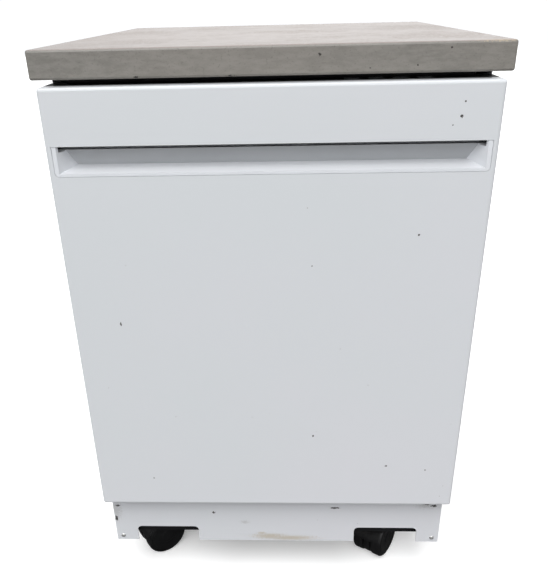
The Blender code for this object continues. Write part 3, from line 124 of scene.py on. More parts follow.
def looking_up(tree):
    """How far a face looks up, from -1 to 1."""
    return add(tree, "SeparateXYZ", {0: add(tree, "NewGeometry").outputs["Normal"]}).outputs["Z"]


def noise(tree, where, scale, detail=3.0, roughness=0.55, stretch=(1, 1, 1)):
    """Noise over the object, finer as scale grows, and drawn out where stretch is small."""
    if tuple(stretch) != (1, 1, 1):
        where = add(tree, "Mapping", {"Vector": where, "Scale": stretch}).outputs[0]
    link = {"Vector": where, "Scale": scale, "Detail": detail, "Roughness": roughness}
    return add(tree, "TexNoise", link).outputs["Fac"]


def between(tree, value, low, high, out_low=0.0, out_high=1.0, smooth=True):
    """The value stretched from its own range to a new one, and held inside it."""
    kind = "SMOOTHSTEP" if smooth else "LINEAR"
    link = {"Value": value, "From Min": low, "From Max": high, "To Min": out_low, "To Max": out_high}
    return add(tree, "MapRange", link, interpolation_type=kind).outputs["Result"]


def calc(tree, operation, a, b=0.0):
    """One sum of two values."""
    return add(tree, "Math", {0: a, 1: b}, operation=operation).outputs[0]


def blend(tree, factor, a, b):
    """Two colours mixed by a factor."""
    return add(tree, "Mix", {0: factor, 6: a, 7: b}, data_type="RGBA").outputs[2]


print("node helpers ready")

# %% [markdown]
# White goods are shown best in a wide even light, with one large soft light from above and in
# front for shape, and a weaker one straight from the front that reaches under the overhangs. The
# floor is pale. It throws back less light than it shows, so that the undersides of the handle and
# the worktop keep their shade.

# %% Floor, sky and lights
SKY_LIGHT, SKY_GLOSS, SKY_SHOWN = 0.34, 0.95, 1.05  # on matt faces, in gloss, behind the machine
FLOOR_SHOWN, FLOOR_BOUNCE, FLOOR_LIFT = (0.93, 0.93, 0.93, 1), (0.16, 0.16, 0.16, 1), 0.26
FLOOR_SIZE, FLOOR_DROP = 14, 0.0003  # the drop keeps it clear of the wheels' lowest points


def make_floor():
    """A wide plane under the machine, with its own plain material."""
    mesh = bpy.data.meshes.new("studio_floor")
    bm = bmesh.new()
    bmesh.ops.create_grid(bm, x_segments=1, y_segments=1, size=FLOOR_SIZE)
    bm.to_mesh(mesh)
    bm.free()
    floor = bpy.data.objects.new("studio_floor", mesh)
    floor.location = (0, 0, -FLOOR_DROP)
    bpy.context.scene.collection.objects.link(floor)
    paint = bpy.data.materials.new("studio_floor")
    paint.use_nodes = True
    tree = paint.node_tree
    shader = tree.nodes["Principled BSDF"]
    shader.inputs["Roughness"].default_value = 0.9
    shader.inputs["Specular IOR Level"].default_value = 0.1
    seen = add(tree, "LightPath").outputs["Is Camera Ray"]
    tree.links.new(blend(tree, seen, FLOOR_BOUNCE, FLOOR_SHOWN), shader.inputs["Base Color"])
    shader.inputs["Emission Color"].default_value = (1, 1, 1, 1)
    tree.links.new(calc(tree, "MULTIPLY", seen, FLOOR_LIFT), shader.inputs["Emission Strength"])
    mesh.materials.append(paint)
    return floor


def make_sky():
    """An even pale surround, brighter in gloss than on matt faces, and white behind the machine."""
    world = bpy.data.worlds.new("studio")
    bpy.context.scene.world = world
    world.use_nodes = True
    tree = world.node_tree
    light = tree.nodes["Background"]
    light.inputs["Color"].default_value = (0.97, 0.985, 1.0, 1)
    rays = add(tree, "LightPath").outputs
    strength = SKY_LIGHT
    for kind, value in (("Is Glossy Ray", SKY_GLOSS), ("Is Camera Ray", SKY_SHOWN)):
        strength = add(tree, "Mix", {0: rays[kind], 2: strength, 3: value}).outputs[0]
    tree.links.new(strength, light.inputs["Strength"])


def make_sun(name, strength, direction, spread, colour=(1, 1, 1)):
    """A soft light from one direction, even over the whole floor."""
    lamp = bpy.data.lights.new(name, "SUN")
    lamp.energy, lamp.angle, lamp.color = strength, math.radians(spread), colour
    sun = bpy.data.objects.new(name, lamp)
    sun.matrix_world = Vector(direction).to_track_quat("-Z", "Y").to_matrix().to_4x4()
    bpy.context.scene.collection.objects.link(sun)
    return sun


make_floor()
make_sky()
make_sun("front_softbox", 2.9, (0.12, 0.51, -0.85), 46)
make_sun("front_fill", 0.85, (0.05, 1.0, -0.15), 60)
make_sun("rear_fill", 0.9, (-0.30, -0.70, -0.65), 90)
bpy.context.scene.view_settings.view_transform = "Standard"

# %% [markdown]
# Several finishes share the same small faults: a slow unevenness of colour, fine specks, dust on
# what faces up, and chips. Each is a node group with named inputs that gives out a mask or a
# value only, so one definition serves every material at its own scale and strength.

# %% Shared effects


def new_nodes(name, inputs, outputs, kind="ShaderNodeTree"):
    """A node tree with (name, kind, value) inputs and (name, kind) outputs, and its two ends."""
    tree = bpy.data.node_groups.new(name, kind)
    for label, socket_kind, value in inputs:
        socket = tree.interface.new_socket(
            label, in_out="INPUT", socket_type="NodeSocket" + socket_kind,
        )
        if value is not None:
            socket.default_value = value
    for label, socket_kind in outputs:
        tree.interface.new_socket(label, in_out="OUTPUT", socket_type="NodeSocket" + socket_kind)
    return tree, tree.nodes.new("NodeGroupInput").outputs, tree.nodes.new("NodeGroupOutput").inputs


def grain_group():
    """Uneven colour at two scales, and a height for the surface's fine texture."""
    group, given, out = new_nodes(
        "surface_grain",
        [("Patch Scale", "Float", 4.0), ("Grain Scale", "Float", 400.0), ("Stretch", "Vector", (1, 1, 1))],
        [("Patches", "Float"), ("Grain", "Float")],
    )
    where = here(group)
    placed = add(group, "VectorMath", {0: where, 1: given["Stretch"]}, operation="MULTIPLY")
    group.links.new(noise(group, placed.outputs[0], given["Patch Scale"], 4), out["Patches"])
    group.links.new(noise(group, placed.outputs[0], given["Grain Scale"], 2), out["Grain"])
    return group


def dust_group():
    """Dust that lies on faces that look up, in patches, with fine specks in it."""
    group, given, out = new_nodes(
        "settled_dust", [("Amount", "Float", 0.5), ("Speck Scale", "Float", 260.0)], [("Dust", "Float")],
    )
    where = here(group)
    up = between(group, looking_up(group), 0.2, 0.95)
    patches = between(group, noise(group, where, 9.0, 4), 0.42, 0.72)
    speckled = between(group, noise(group, where, given["Speck Scale"], 2), 0.35, 0.7)
    dust = calc(group, "MULTIPLY", calc(group, "MULTIPLY", up, patches), speckled)
    dust = calc(group, "MULTIPLY", dust, given["Amount"])
    group.links.new(dust, out["Dust"])
    return group


def speck_group():
    """Rare small specks, far apart: 1 on a speck and 0 elsewhere."""
    group, given, out = new_nodes(
        "rare_specks", [("Spacing Scale", "Float", 30.0), ("Size", "Float", 0.06)], [("Specks", "Float")],
    )
    where = here(group)
    cells = add(
        group, "TexVoronoi", {"Vector": where, "Scale": given["Spacing Scale"], "Randomness": 1.0},
    )
    near = calc(group, "LESS_THAN", cells.outputs["Distance"], given["Size"])
    pick = add(group, "SeparateColor", {0: cells.outputs["Color"]}).outputs[0]
    chosen = calc(group, "GREATER_THAN", pick, 0.62)
    group.links.new(calc(group, "MULTIPLY", near, chosen), out["Specks"])
    return group


def mark_group():
    """A ragged mark round one place, from 1 at its middle to 0 at its radius."""
    group, given, out = new_nodes(
        "ragged_mark",
        [
            ("Centre", "Vector", (0, 0, 0)), ("Radius", "Float", 0.002), ("Squash", "Vector", (1, 1, 1)),
            ("Raggedness", "Float", 0.5), ("Softness", "Float", 0.3),
        ],
        [("Mark", "Float")],
    )
    where = here(group)
    off = add(group, "VectorMath", {0: where, 1: given["Centre"]}, operation="SUBTRACT")
    off = add(group, "VectorMath", {0: off.outputs[0], 1: given["Squash"]}, operation="MULTIPLY")
    away = add(group, "VectorMath", {0: off.outputs[0]}, operation="LENGTH").outputs["Value"]
    away = calc(group, "DIVIDE", away, given["Radius"])
    ragged = between(group, noise(group, where, 420.0, 3), 0.25, 0.75, -1.0, 1.0, smooth=False)
    away = calc(group, "ADD", away, calc(group, "MULTIPLY", ragged, given["Raggedness"]))
    inner = calc(group, "SUBTRACT", 1.0, given["Softness"])
    group.links.new(between(group, away, inner, 1.0, 1.0, 0.0), out["Mark"])
    return group


GROUPS = {group.name: group for group in (grain_group(), dust_group(), speck_group(), mark_group())}


def effect(tree, name, **inputs):
    """The shared effect, placed in a material with its own values."""
    node = tree.nodes.new("ShaderNodeGroup")
    node.node_tree = GROUPS[name]
    for label, value in inputs.items():
        node.inputs[label.replace("_", " ")].default_value = value
    return node.outputs


def marks(tree, places):
    """The strongest of several ragged marks, each (centre, radius, squash, raggedness, softness)."""
    total = 0.0
    for centre, radius, squash, ragged, soft in places:
        mark = effect(
            tree, "ragged_mark", Centre=centre, Radius=radius, Squash=squash, Raggedness=ragged,
            Softness=soft,
        )["Mark"]
        total = calc(tree, "MAXIMUM", mark, total)
    return total


print("shared effects:", sorted(GROUPS))

# %% [markdown]
# A material starts from the Principled shader's plain values. What is the same all over, such as
# a clear coat or the metal's value, is set on the shader itself, and only what changes over the
# surface is linked: colour, roughness and the height of the bump.

# %% Material base


def new_finish(name, roughness=0.5, metallic=0.0, coat=0.0, coat_roughness=0.1, specular=0.5):
    """A material, with its shader and its tree."""
    made = bpy.data.materials.new(name)
    made.use_nodes = True
    tree = made.node_tree
    shader = tree.nodes["Principled BSDF"]
    shader.inputs["Roughness"].default_value = roughness
    shader.inputs["Metallic"].default_value = metallic
    shader.inputs["Coat Weight"].default_value = coat
    shader.inputs["Coat Roughness"].default_value = coat_roughness
    shader.inputs["Specular IOR Level"].default_value = specular
    return made, tree, shader


def set_bump(tree, shader, height, strength, distance):
    bump = add(tree, "Bump", {"Height": height, "Strength": strength, "Distance": distance})
    tree.links.new(bump.outputs[0], shader.inputs["Normal"])


def moulded(
    name, colour, roughness=0.45, grain=500.0, uneven=0.10, dust=0.0,
    dust_colour=(0.5, 0.48, 0.44), specular=0.5,
):
    """Moulded plastic or rubber: slightly uneven colour, fine grain, and dust where it is asked for."""
    made, tree, shader = new_finish(name, roughness, specular=specular)
    given = effect(tree, "surface_grain", Patch_Scale=14.0, Grain_Scale=grain)
    light = tuple(min(1.0, c * (1 + uneven)) for c in colour)
    dark = tuple(c * (1 - uneven) for c in colour)
    shade = blend(tree, between(tree, given["Patches"], 0.3, 0.7), (*dark, 1), (*light, 1))
    rough = between(tree, given["Grain"], 0.3, 0.7, roughness - 0.06, roughness + 0.06)
    if dust:
        lying = effect(tree, "settled_dust", Amount=dust, Speck_Scale=grain)["Dust"]
        shade = blend(tree, lying, shade, (*dust_colour, 1))
        rough = calc(tree, "ADD", rough, calc(tree, "MULTIPLY", lying, 0.3))
    tree.links.new(shade, shader.inputs["Base Color"])
    tree.links.new(rough, shader.inputs["Roughness"])
    set_bump(tree, shader, given["Grain"], 0.10, 0.0002)
    return made


def brushed(name, colour, roughness, stretch):
    """Sheet metal with a fine grain drawn out along one direction."""
    made, tree, shader = new_finish(name, roughness, metallic=1.0)
    given = effect(tree, "surface_grain", Patch_Scale=9.0, Grain_Scale=180.0, Stretch=stretch)
    dark = tuple(c * 0.84 for c in colour)
    shade = blend(tree, between(tree, given["Patches"], 0.3, 0.7), (*dark, 1), (*colour, 1))
    tree.links.new(shade, shader.inputs["Base Color"])
    rough = between(tree, given["Grain"], 0.25, 0.75, roughness - 0.10, roughness + 0.12)
    tree.links.new(rough, shader.inputs["Roughness"])
    set_bump(tree, shader, given["Grain"], 0.06, 0.0002)
    return made


print("material helpers ready")

# %% [markdown]
# ## White enamel
# The door, the sides and the kick panel are steel with a baked white coat: a satin gloss with a
# very slight orange peel. Years of use leave a few dark chips where something hit it, faint
# scuffs, and a brown stain at the middle of the kick panel's lower edge. A chip is a ragged mark
# at its own place, so the same tree paints the door and the kick panel.

# %% White enamel
DOOR_FACE, KICK_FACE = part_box("door_skin")[0].y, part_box("toe_kick")[0].y


def marks_at(depth, rows):
    """Marks on the face at this depth, from rows of x, z, radius, squash, raggedness, softness."""
    return [((x, depth, z), *rest) for x, z, *rest in rows]


ROUND, UPRIGHT, FLAT = (1, 1, 1), (1, 1, 0.45), (0.45, 1, 1)
DOOR_CHIPS = marks_at(DOOR_FACE, [
    (0.2494, 0.8491, 0.0022, ROUND, 0.55, 0.3),
    (0.2524, 0.8674, 0.0014, ROUND, 0.55, 0.3),
    (0.2391, 0.8380, 0.0010, ROUND, 0.55, 0.3),
    (0.2079, 0.6894, 0.0016, ROUND, 0.55, 0.3),
    (-0.2300, 0.5531, 0.0015, UPRIGHT, 0.5, 0.3),
    (0.0641, 0.3466, 0.0017, ROUND, 0.55, 0.3),
    (0.0588, 0.6445, 0.0011, ROUND, 0.5, 0.4),
    (-0.2077, 0.2581, 0.0016, ROUND, 0.55, 0.3),
    (0.1870, 0.2858, 0.0020, ROUND, 0.55, 0.3),
    (0.2525, 0.2777, 0.0013, ROUND, 0.55, 0.3),
])
KICK_CHIPS = marks_at(KICK_FACE, [
    (-0.2929, 0.1420, 0.0028, UPRIGHT, 0.6, 0.3),
    (-0.2873, 0.1720, 0.0022, FLAT, 0.7, 0.4),
    (0.2698, 0.1798, 0.0030, FLAT, 0.7, 0.4),
    (0.2826, 0.1753, 0.0026, FLAT, 0.6, 0.3),
    (0.1068, 0.1692, 0.0030, (0.32, 1, 1.4), 0.5, 0.3),
    (-0.1126, 0.1570, 0.0024, (0.8, 1, 0.8), 0.8, 0.5),
])
KICK_STAINS = marks_at(KICK_FACE, [
    (-0.0112, 0.1010, 0.020, (0.45, 1, 2.2), 0.45, 0.8),
    (0.0258, 0.0975, 0.020, (0.30, 1, 2.6), 0.45, 0.8),
    (-0.0259, 0.1083, 0.006, (0.5, 1, 1.6), 0.6, 0.8),
])
KICK_SCUFFS = marks_at(KICK_FACE, [
    (-0.2929, 0.1600, 0.014, (0.9, 1, 0.5), 0.7, 0.9),
    (0.2698, 0.1770, 0.016, (0.6, 1, 1.5), 0.7, 0.9),
    (-0.0566, 0.1346, 0.006, (0.6, 1, 1.2), 0.8, 0.9),
])
SKIN_DARK, SKIN_LIGHT = (0.660, 0.700, 0.715, 1), (0.712, 0.705, 0.745, 1)
SPECK, SCUFF, STAIN = (0.22, 0.20, 0.18, 1), (0.36, 0.35, 0.34, 1), (0.42, 0.33, 0.19, 1)
BARE_STEEL, GREY_DUST = (0.045, 0.040, 0.038, 1), (0.50, 0.47, 0.43, 1)


def white_enamel(name, chips=(), stains=(), scuffs=()):
    """Baked white enamel, with these marks on it."""
    made, tree, shader = new_finish(name, 0.28, coat=0.25, coat_roughness=0.12)
    given = effect(tree, "surface_grain", Patch_Scale=1.7, Grain_Scale=230.0)
    patches = between(tree, given["Patches"], 0.1, 0.9, smooth=False)
    shade = blend(tree, patches, SKIN_DARK, SKIN_LIGHT)
    specks = effect(tree, "rare_specks", Spacing_Scale=38.0, Size=0.030)["Specks"]
    shade = blend(tree, calc(tree, "MULTIPLY", specks, 0.55), shade, SPECK)
    if scuffs:
        scuffed = calc(tree, "MULTIPLY", marks(tree, scuffs), 0.45)
        shade = blend(tree, scuffed, shade, SCUFF)
    if stains:
        stained = calc(tree, "MULTIPLY", marks(tree, stains), 0.55)
        shade = blend(tree, stained, shade, STAIN)
    height = calc(tree, "MULTIPLY", given["Grain"], 0.15)
    if chips:
        chipped = marks(tree, chips)
        shade = blend(tree, chipped, shade, BARE_STEEL)
        height = calc(tree, "SUBTRACT", height, calc(tree, "MULTIPLY", chipped, 0.8))
    dust = effect(tree, "settled_dust", Amount=0.35, Speck_Scale=300.0)["Dust"]
    shade = blend(tree, dust, shade, GREY_DUST)
    rough = between(tree, given["Grain"], 0.3, 0.7, 0.31, 0.36)
    tree.links.new(shade, shader.inputs["Base Color"])
    tree.links.new(rough, shader.inputs["Roughness"])
    set_bump(tree, shader, height, 0.05, 0.0003)
    return made


ENAMEL = white_enamel("white_enamel")
DOOR_ENAMEL = white_enamel("white_enamel_door", DOOR_CHIPS)
KICK_ENAMEL = white_enamel("white_enamel_kick", KICK_CHIPS, KICK_STAINS, KICK_SCUFFS)
print(len(DOOR_CHIPS + KICK_CHIPS), "chips,", len(KICK_STAINS), "stains,", len(KICK_SCUFFS), "scuffs")

# %% [markdown]
# ## Laminate
# The worktop is particle board under a printed laminate with a fine stone-like mottle, a little
# drawn out along the board. Its sheen is low and even. Dirt has gathered in dots along the front
# edge, and a pale tan patch shows near the right front corner.

# %% Laminate
TOP_LOW, TOP_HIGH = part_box("worktop")


def laminate_finish():
    """Printed laminate: a drawn-out mottle, dirt along the front edge, and a paler top that is partly wear and
    partly a painted highlight.
    """
    made, tree, shader = new_finish("laminate", 0.42, specular=0.4)
    where = here(tree)
    broad = between(tree, noise(tree, where, 5.0, 4, stretch=(0.35, 1, 1)), 0.3, 0.7)
    mottle = between(tree, noise(tree, where, 160.0, 5, 0.65, stretch=(0.3, 1, 1)), 0.32, 0.68)
    dots = between(tree, noise(tree, where, 420.0, 2, stretch=(0.7, 1, 1)), 0.55, 0.75)
    shade = blend(tree, mottle, (0.176, 0.168, 0.152, 1), (0.236, 0.226, 0.206, 1))
    shade = blend(tree, calc(tree, "MULTIPLY", broad, 0.5), shade, (0.262, 0.240, 0.215, 1))
    shade = blend(tree, calc(tree, "MULTIPLY", dots, 0.45), shade, (0.115, 0.105, 0.092, 1))
    tan = marks(tree, [
        ((0.292, TOP_LOW.y + 0.006, TOP_HIGH.z), 0.030, (0.7, 2.6, 9), 0.5, 0.9),
    ])
    shade = blend(tree, calc(tree, "MULTIPLY", tan, 0.6), shade, (0.56, 0.44, 0.27, 1))
    dirt = marks(tree, marks_at(TOP_LOW.y, [
        (0.066, 0.9255, 0.0020, (0.7, 1, 1), 0.6, 0.4),
        (0.2305, 0.9307, 0.0016, ROUND, 0.6, 0.4),
        (0.190, 0.9105, 0.0012, ROUND, 0.6, 0.4),
        (0.130, 0.9081, 0.0010, ROUND, 0.6, 0.4),
        (-0.172, 0.9025, 0.0020, (0.5, 1, 1), 0.6, 0.4),
        (-0.049, 0.9015, 0.0024, (0.4, 1, 1), 0.6, 0.4),
    ]))
    shade = blend(tree, dirt, shade, (0.035, 0.030, 0.026, 1))
    # Paler on faces that look up: partly wear, partly a painted highlight for the brightly lit top.
    facing = looking_up(tree)
    worn_and_lit_top = calc(tree, "MULTIPLY", between(tree, facing, 0.5, 0.95), 0.50)
    shade = blend(tree, worn_and_lit_top, shade, (0.29, 0.225, 0.205, 1))
    dust = effect(tree, "settled_dust", Amount=0.30, Speck_Scale=180.0)["Dust"]
    shade = blend(tree, dust, shade, (0.44, 0.40, 0.37, 1))
    tree.links.new(shade, shader.inputs["Base Color"])
    rough = between(tree, mottle, 0.0, 1.0, 0.30, 0.42, smooth=False)
    tree.links.new(calc(tree, "ADD", rough, dust), shader.inputs["Roughness"])
    set_bump(tree, shader, mottle, 0.10, 0.0002)
    return made


LAMINATE = laminate_finish()
print("laminate over", [round(v, 3) for v in TOP_HIGH - TOP_LOW])

# %% [markdown]
# ## Plastics, rubber and metals
# The rest are moulded or brushed. Black and grey mouldings take dust where they look up, and the
# casters are grey with floor dust. Steel rails and the heater are brushed along their length,
# and the base and the back are zinc-plated sheet.
# The base, the front top brace and the door strike are shown near black instead, as painted shade.

# %% Plastics, rubber and metals
WHITE_PLASTIC = moulded("white_plastic", (0.73, 0.75, 0.785), 0.40, grain=700.0, uneven=0.03)
BLACK_PLASTIC = moulded("black_plastic", (0.010, 0.010, 0.011), 0.42, dust=0.10, specular=0.2)
CASTER_PLASTIC = moulded(
    "caster_plastic", (0.005, 0.005, 0.0055), 0.36, grain=300.0, uneven=0.35, dust=0.12,
    specular=0.15,
)
CASTER_TREAD = moulded(
    "caster_tread", (0.006, 0.006, 0.0065), 0.50, grain=260.0, uneven=0.45, dust=0.15,
    dust_colour=(0.10, 0.10, 0.095), specular=0.15,
)
GREY_PLASTIC = moulded("grey_plastic", (0.30, 0.31, 0.33), 0.45, uneven=0.06)
BUTTON_PLASTIC = moulded("button_plastic", (0.085, 0.087, 0.092), 0.32, uneven=0.05)
TUB_PLASTIC = moulded("tub_plastic", (0.50, 0.505, 0.50), 0.36, grain=240.0, uneven=0.05)
SEAL_RUBBER = moulded("seal_rubber", (0.030, 0.030, 0.032), 0.62, grain=420.0, uneven=0.15)
VINYL = moulded("rack_vinyl", (0.22, 0.27, 0.34), 0.42, grain=600.0, uneven=0.10)
STEEL = brushed("brushed_steel", (0.62, 0.625, 0.63), 0.32, (1, 0.06, 1))
ZINC = brushed("zinc_plate", (0.60, 0.605, 0.59), 0.42, (1, 1, 0.25))
# Painted shade: a near-black finish for zinc parts that sit in deep shadow, under the worktop and behind the kick
# panel's cutouts.
SHADOW_BLACK_STEEL = moulded(
    "steel_painted_shadow", (0.010, 0.010, 0.011), 0.55, grain=300.0, uneven=0.3, specular=0.15,
)

CAVITY_Z, CAVITY_IN = 0.8122, 0.0031  # above the upper slope, and this far behind the door's face
CAVITY_BLUR = 0.0006
# Painted shade colours: grey for the down-facing slope, a dimmer white for the up-facing slope, and black for the
# hollow above the grip.
DOWN_SLOPE_PAINTED_SHADE, UP_SLOPE_PAINTED_SHADE, HOLLOW_PAINTED_SHADE = (0.25, 0.26, 0.265, 1), (0.60, 0.615, 0.64, 1), (0.004, 0.004, 0.004, 1)


def handle_plastic():
    """The handle's white plastic with painted shade: greyed on the slopes that look down, dimmed on those that
    look up, and black in the hollow above the grip.
    """
    made = WHITE_PLASTIC.copy()
    made.name = "handle_plastic"
    tree = made.node_tree
    shader = tree.nodes["Principled BSDF"]
    colour = shader.inputs["Base Color"].links[0].from_socket
    place = add(tree, "SeparateXYZ", {0: here(tree)})
    # Painted shade: the hollow above the grip, behind the door's face, is made black.
    inside = DOOR_FACE + CAVITY_IN
    above = between(tree, place.outputs["Z"], CAVITY_Z, CAVITY_Z + CAVITY_BLUR)
    behind = between(tree, place.outputs["Y"], inside, inside + CAVITY_BLUR)
    hollow = calc(tree, "MULTIPLY", above, behind)
    # Painted shade by facing: slopes that look down are greyed, and slopes that look up are dimmed.
    facing = looking_up(tree)
    shaded = calc(tree, "MULTIPLY", between(tree, facing, -0.15, -0.35), 0.55)
    colour = blend(tree, shaded, colour, DOWN_SLOPE_PAINTED_SHADE)
    colour = blend(tree, between(tree, facing, 0.15, 0.35), colour, UP_SLOPE_PAINTED_SHADE)
    tree.links.new(blend(tree, hollow, colour, HOLLOW_PAINTED_SHADE), shader.inputs["Base Color"])
    return made


HANDLE_PLASTIC = handle_plastic()
FINISHES = {
    "white_enamel": ENAMEL, "laminate": LAMINATE, "white_plastic": HANDLE_PLASTIC,
    "black_plastic": BLACK_PLASTIC, "caster_tread": CASTER_TREAD, "grey_plastic": GREY_PLASTIC,
    "button_plastic": BUTTON_PLASTIC, "tub_plastic": TUB_PLASTIC, "rubber": SEAL_RUBBER,
    "steel": STEEL, "zinc_plate": ZINC, "rack_vinyl": VINYL,
}


def paint(obj, finish):
    """Gives a frame piece its finish."""
    obj.data.materials.clear()
    obj.data.materials.append(finish)


for row in frame["record"]["subparts"]:
    paint(NODES[row["node"]], FINISHES[row["material_slot"]])
paint(NODES["door_skin"], DOOR_ENAMEL)
paint(NODES["toe_kick"], KICK_ENAMEL)
# Painted shade: these zinc parts take the near-black finish for the deep shadow they sit in.
for name in ("top_brace_front", "base_frame", "door_strike"):
    paint(NODES[name], SHADOW_BLACK_STEEL)
print(len(FINISHES), "finishes on", len(NODES), "frame pieces")

# %% [markdown]
# ## Making pieces
# A new piece is a closed mesh with its place in its points, so its object stays at the origin.
# Turned shapes are rings of points round an axis, and a ring of radius zero is a single point.

# %% Mesh helpers
JOINTS = {joint["name"]: joint for joint in frame["joints"]}
PIECES = []
SMOOTH_UNDER = 50  # degrees: a sharper edge stays sharp


def turned(bm, profile, place=None, sides=32):
    """Adds a closed turned solid from (radius, height) points, along the Z of the given place."""
    place = place or Matrix()
    rings = []
    for radius, height in profile:
        count = sides if radius else 1
        turns = [2 * math.pi * step / sides for step in range(count)]
        rings.append([
            bm.verts.new(place @ Vector((radius * math.cos(t), radius * math.sin(t), height)))
            for t in turns
        ])
    for low, high in zip(rings, rings[1:]):
        for step in range(sides):
            a, b = step, (step + 1) % sides
            corners = [low[a % len(low)], low[b % len(low)], high[b % len(high)], high[a % len(high)]]
            corners = list(dict.fromkeys(corners))
            if len(corners) > 2:
                bm.faces.new(corners)
    return rings


def block(bm, low, high, bevel=0.0):
    """Adds a box between two corners, with its edges rounded."""
    low, high = Vector(low), Vector(high)
    place = Matrix.Translation((low + high) / 2) @ Matrix.Diagonal((*(high - low), 1))
    made = bmesh.ops.create_cube(bm, size=1, matrix=place)["verts"]
    if bevel:
        edges = list(dict.fromkeys(edge for vert in made for edge in vert.link_edges))
        bmesh.ops.bevel(bm, geom=edges, offset=bevel, segments=2, affect="EDGES", profile=0.5)


def piece_from(name, bm, finish):
    """A piece from a bmesh: welded, with its faces outwards and its round faces smooth."""
    bmesh.ops.remove_doubles(bm, verts=bm.verts, dist=1e-6)
    bmesh.ops.recalc_face_normals(bm, faces=bm.faces)
    mesh = bpy.data.meshes.new(name)
    bm.to_mesh(mesh)
    bm.free()
    mesh.materials.append(finish)
    mesh.shade_smooth()
    mesh.set_sharp_from_angle(angle=math.radians(SMOOTH_UNDER))
    piece = bpy.data.objects.new(name, mesh)
    bpy.context.scene.collection.objects.link(piece)
    return piece


def hand_in(piece, body, slot, *replaced):
    """Says which body the piece rides on, and which frame pieces it stands for; the slot is not used."""
    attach(piece, body)
    if replaced:
        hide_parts(*replaced)
    PIECES.append(piece.name)


print("joints read:", len(JOINTS))

# %% [markdown]
# ## Wires by Geometry Nodes
# A dishwasher rack is many equal bent wires. One tree makes them all: it takes the corners of one
# wire, rounds its bends, sweeps a circle along it, and repeats it at an even step. Its sizes are
# named inputs, so a rim, a row of tines and a bead on a panel all come from the same tree.

# %% Bent-wire tree


def new_tree(name, inputs):
    """A geometry tree with these inputs beside its geometry."""
    both = ("Geometry", "Geometry")
    return new_nodes(name, [(*both, None), *inputs], [both], "GeometryNodeTree")


def close_tree(tree, given, out, instances):
    """Ends a tree: real geometry, with the finish on it."""
    real = step_node(tree, "GeometryNodeRealizeInstances", {0: instances})
    painted = step_node(
        tree, "GeometryNodeSetMaterial", {"Geometry": real.outputs[0], "Material": given["Finish"]},
    )
    tree.links.new(painted.outputs[0], out[0])


def wire_tree():
    """Sweeps a wire along its rounded corners and repeats it."""
    tree, given, out = new_tree("bent_wires", [
        ("Copies", "Int", 1), ("Step", "Vector", (0, 0, 0)), ("Wire Radius", "Float", 0.002),
        ("Bend Radius", "Float", 0.01), ("Sides", "Int", 8), ("Finish", "Material", None),
    ])
    path = step_node(tree, "GeometryNodeMeshToCurve", {"Mesh": given["Geometry"]})
    bent = step_node(
        tree, "GeometryNodeFilletCurve",
        {"Curve": path.outputs[0], "Radius": given["Bend Radius"], "Limit Radius": True},
    )
    bent.mode = "POLY"
    bent.inputs["Count"].default_value = 4
    ring = step_node(
        tree, "GeometryNodeCurvePrimitiveCircle",
        {"Resolution": given["Sides"], "Radius": given["Wire Radius"]}, mode="RADIUS",
    )
    wire = step_node(
        tree, "GeometryNodeCurveToMesh",
        {"Curve": bent.outputs[0], "Profile Curve": ring.outputs[0], "Fill Caps": True},
    )
    places = step_node(
        tree, "GeometryNodeMeshLine",
        {"Count": given["Copies"], "Offset": given["Step"]}, mode="OFFSET",
    )
    copies = step_node(
        tree, "GeometryNodeInstanceOnPoints", {"Points": places.outputs[0], "Instance": wire.outputs[0]},
    )
    close_tree(tree, given, out, copies.outputs[0])
    return tree


def grown(source, tree, finish, **inputs):
    """The plain mesh that a tree grows from the source mesh."""
    holder = bpy.data.objects.new("seed", source)
    bpy.context.scene.collection.objects.link(holder)
    modifier = holder.modifiers.new("grow", "NODES")
    modifier.node_group = tree
    sockets = {
        item.name: item.identifier for item in tree.interface.items_tree if item.in_out == "INPUT"
    }
    for label, value in {**inputs, "Finish": finish}.items():
        modifier[sockets[label.replace("_", " ")]] = value
    graph = bpy.context.evaluated_depsgraph_get()
    mesh = bpy.data.meshes.new_from_object(holder.evaluated_get(graph))
    bpy.data.objects.remove(holder)
    return mesh


WIRE_TREE = wire_tree()


class Wirework:
    """Wires gathered into one mesh, which becomes one piece."""

    def __init__(self, finish):
        self.bm, self.finish = bmesh.new(), finish

    def wire(self, corners, radius, copies=1, step=(0, 0, 0), bend=0.012, sides=8, closed=False):
        """A wire through the corners, repeated at the step."""
        mesh = bpy.data.meshes.new("path")
        count = len(corners)
        edges = [(n, (n + 1) % count) for n in range(count if closed else count - 1)]
        mesh.from_pydata([tuple(map(float, c)) for c in corners], edges, [])
        made = grown(
            mesh, WIRE_TREE, self.finish, Copies=copies, Step=tuple(map(float, step)),
            Wire_Radius=radius, Bend_Radius=bend, Sides=sides,
        )
        self.bm.from_mesh(made)

    def loop(self, x, y, z, radius, bend=0.028):
        """A closed level ring through the corners of a rectangle."""
        corners = [(x[0], y[0], z), (x[1], y[0], z), (x[1], y[1], z), (x[0], y[1], z)]
        self.wire(corners, radius, bend=bend, sides=10, closed=True)

    def standing_loop(self, x, y, z, radius, bend, sides=12):
        """A closed upright ring through the corners of a rectangle."""
        corners = [(x[0], y, z[0]), (x[1], y, z[0]), (x[1], y, z[1]), (x[0], y, z[1])]
        self.wire(corners, radius, bend=bend, sides=sides, closed=True)


print("wire tree:", [item.name for item in WIRE_TREE.interface.items_tree])

# %% [markdown]
# ## Racks
# Each rack is a basket of vinyl-dipped wire. Two thick rings and a thinner one give it its shape,
# U-shaped wires run both ways under it, and rows of tines stand up between the plates. The lower
# rack has a carrier and an axle for each wheel. The upper one hangs on runners in the side rails.

# %% Rack sizes
RIM_WIRE, MESH_WIRE, TINE_WIRE = 0.0025, 0.0017, 0.0015
RACK_X = 0.247
RACK_LOW, RACK_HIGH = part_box("lower_rack")
RACK_Y = (RACK_LOW.y, RACK_HIGH.y)
print("rack", round(RACK_Y[1] - RACK_Y[0], 4), "m deep")

# %% Basket of wires


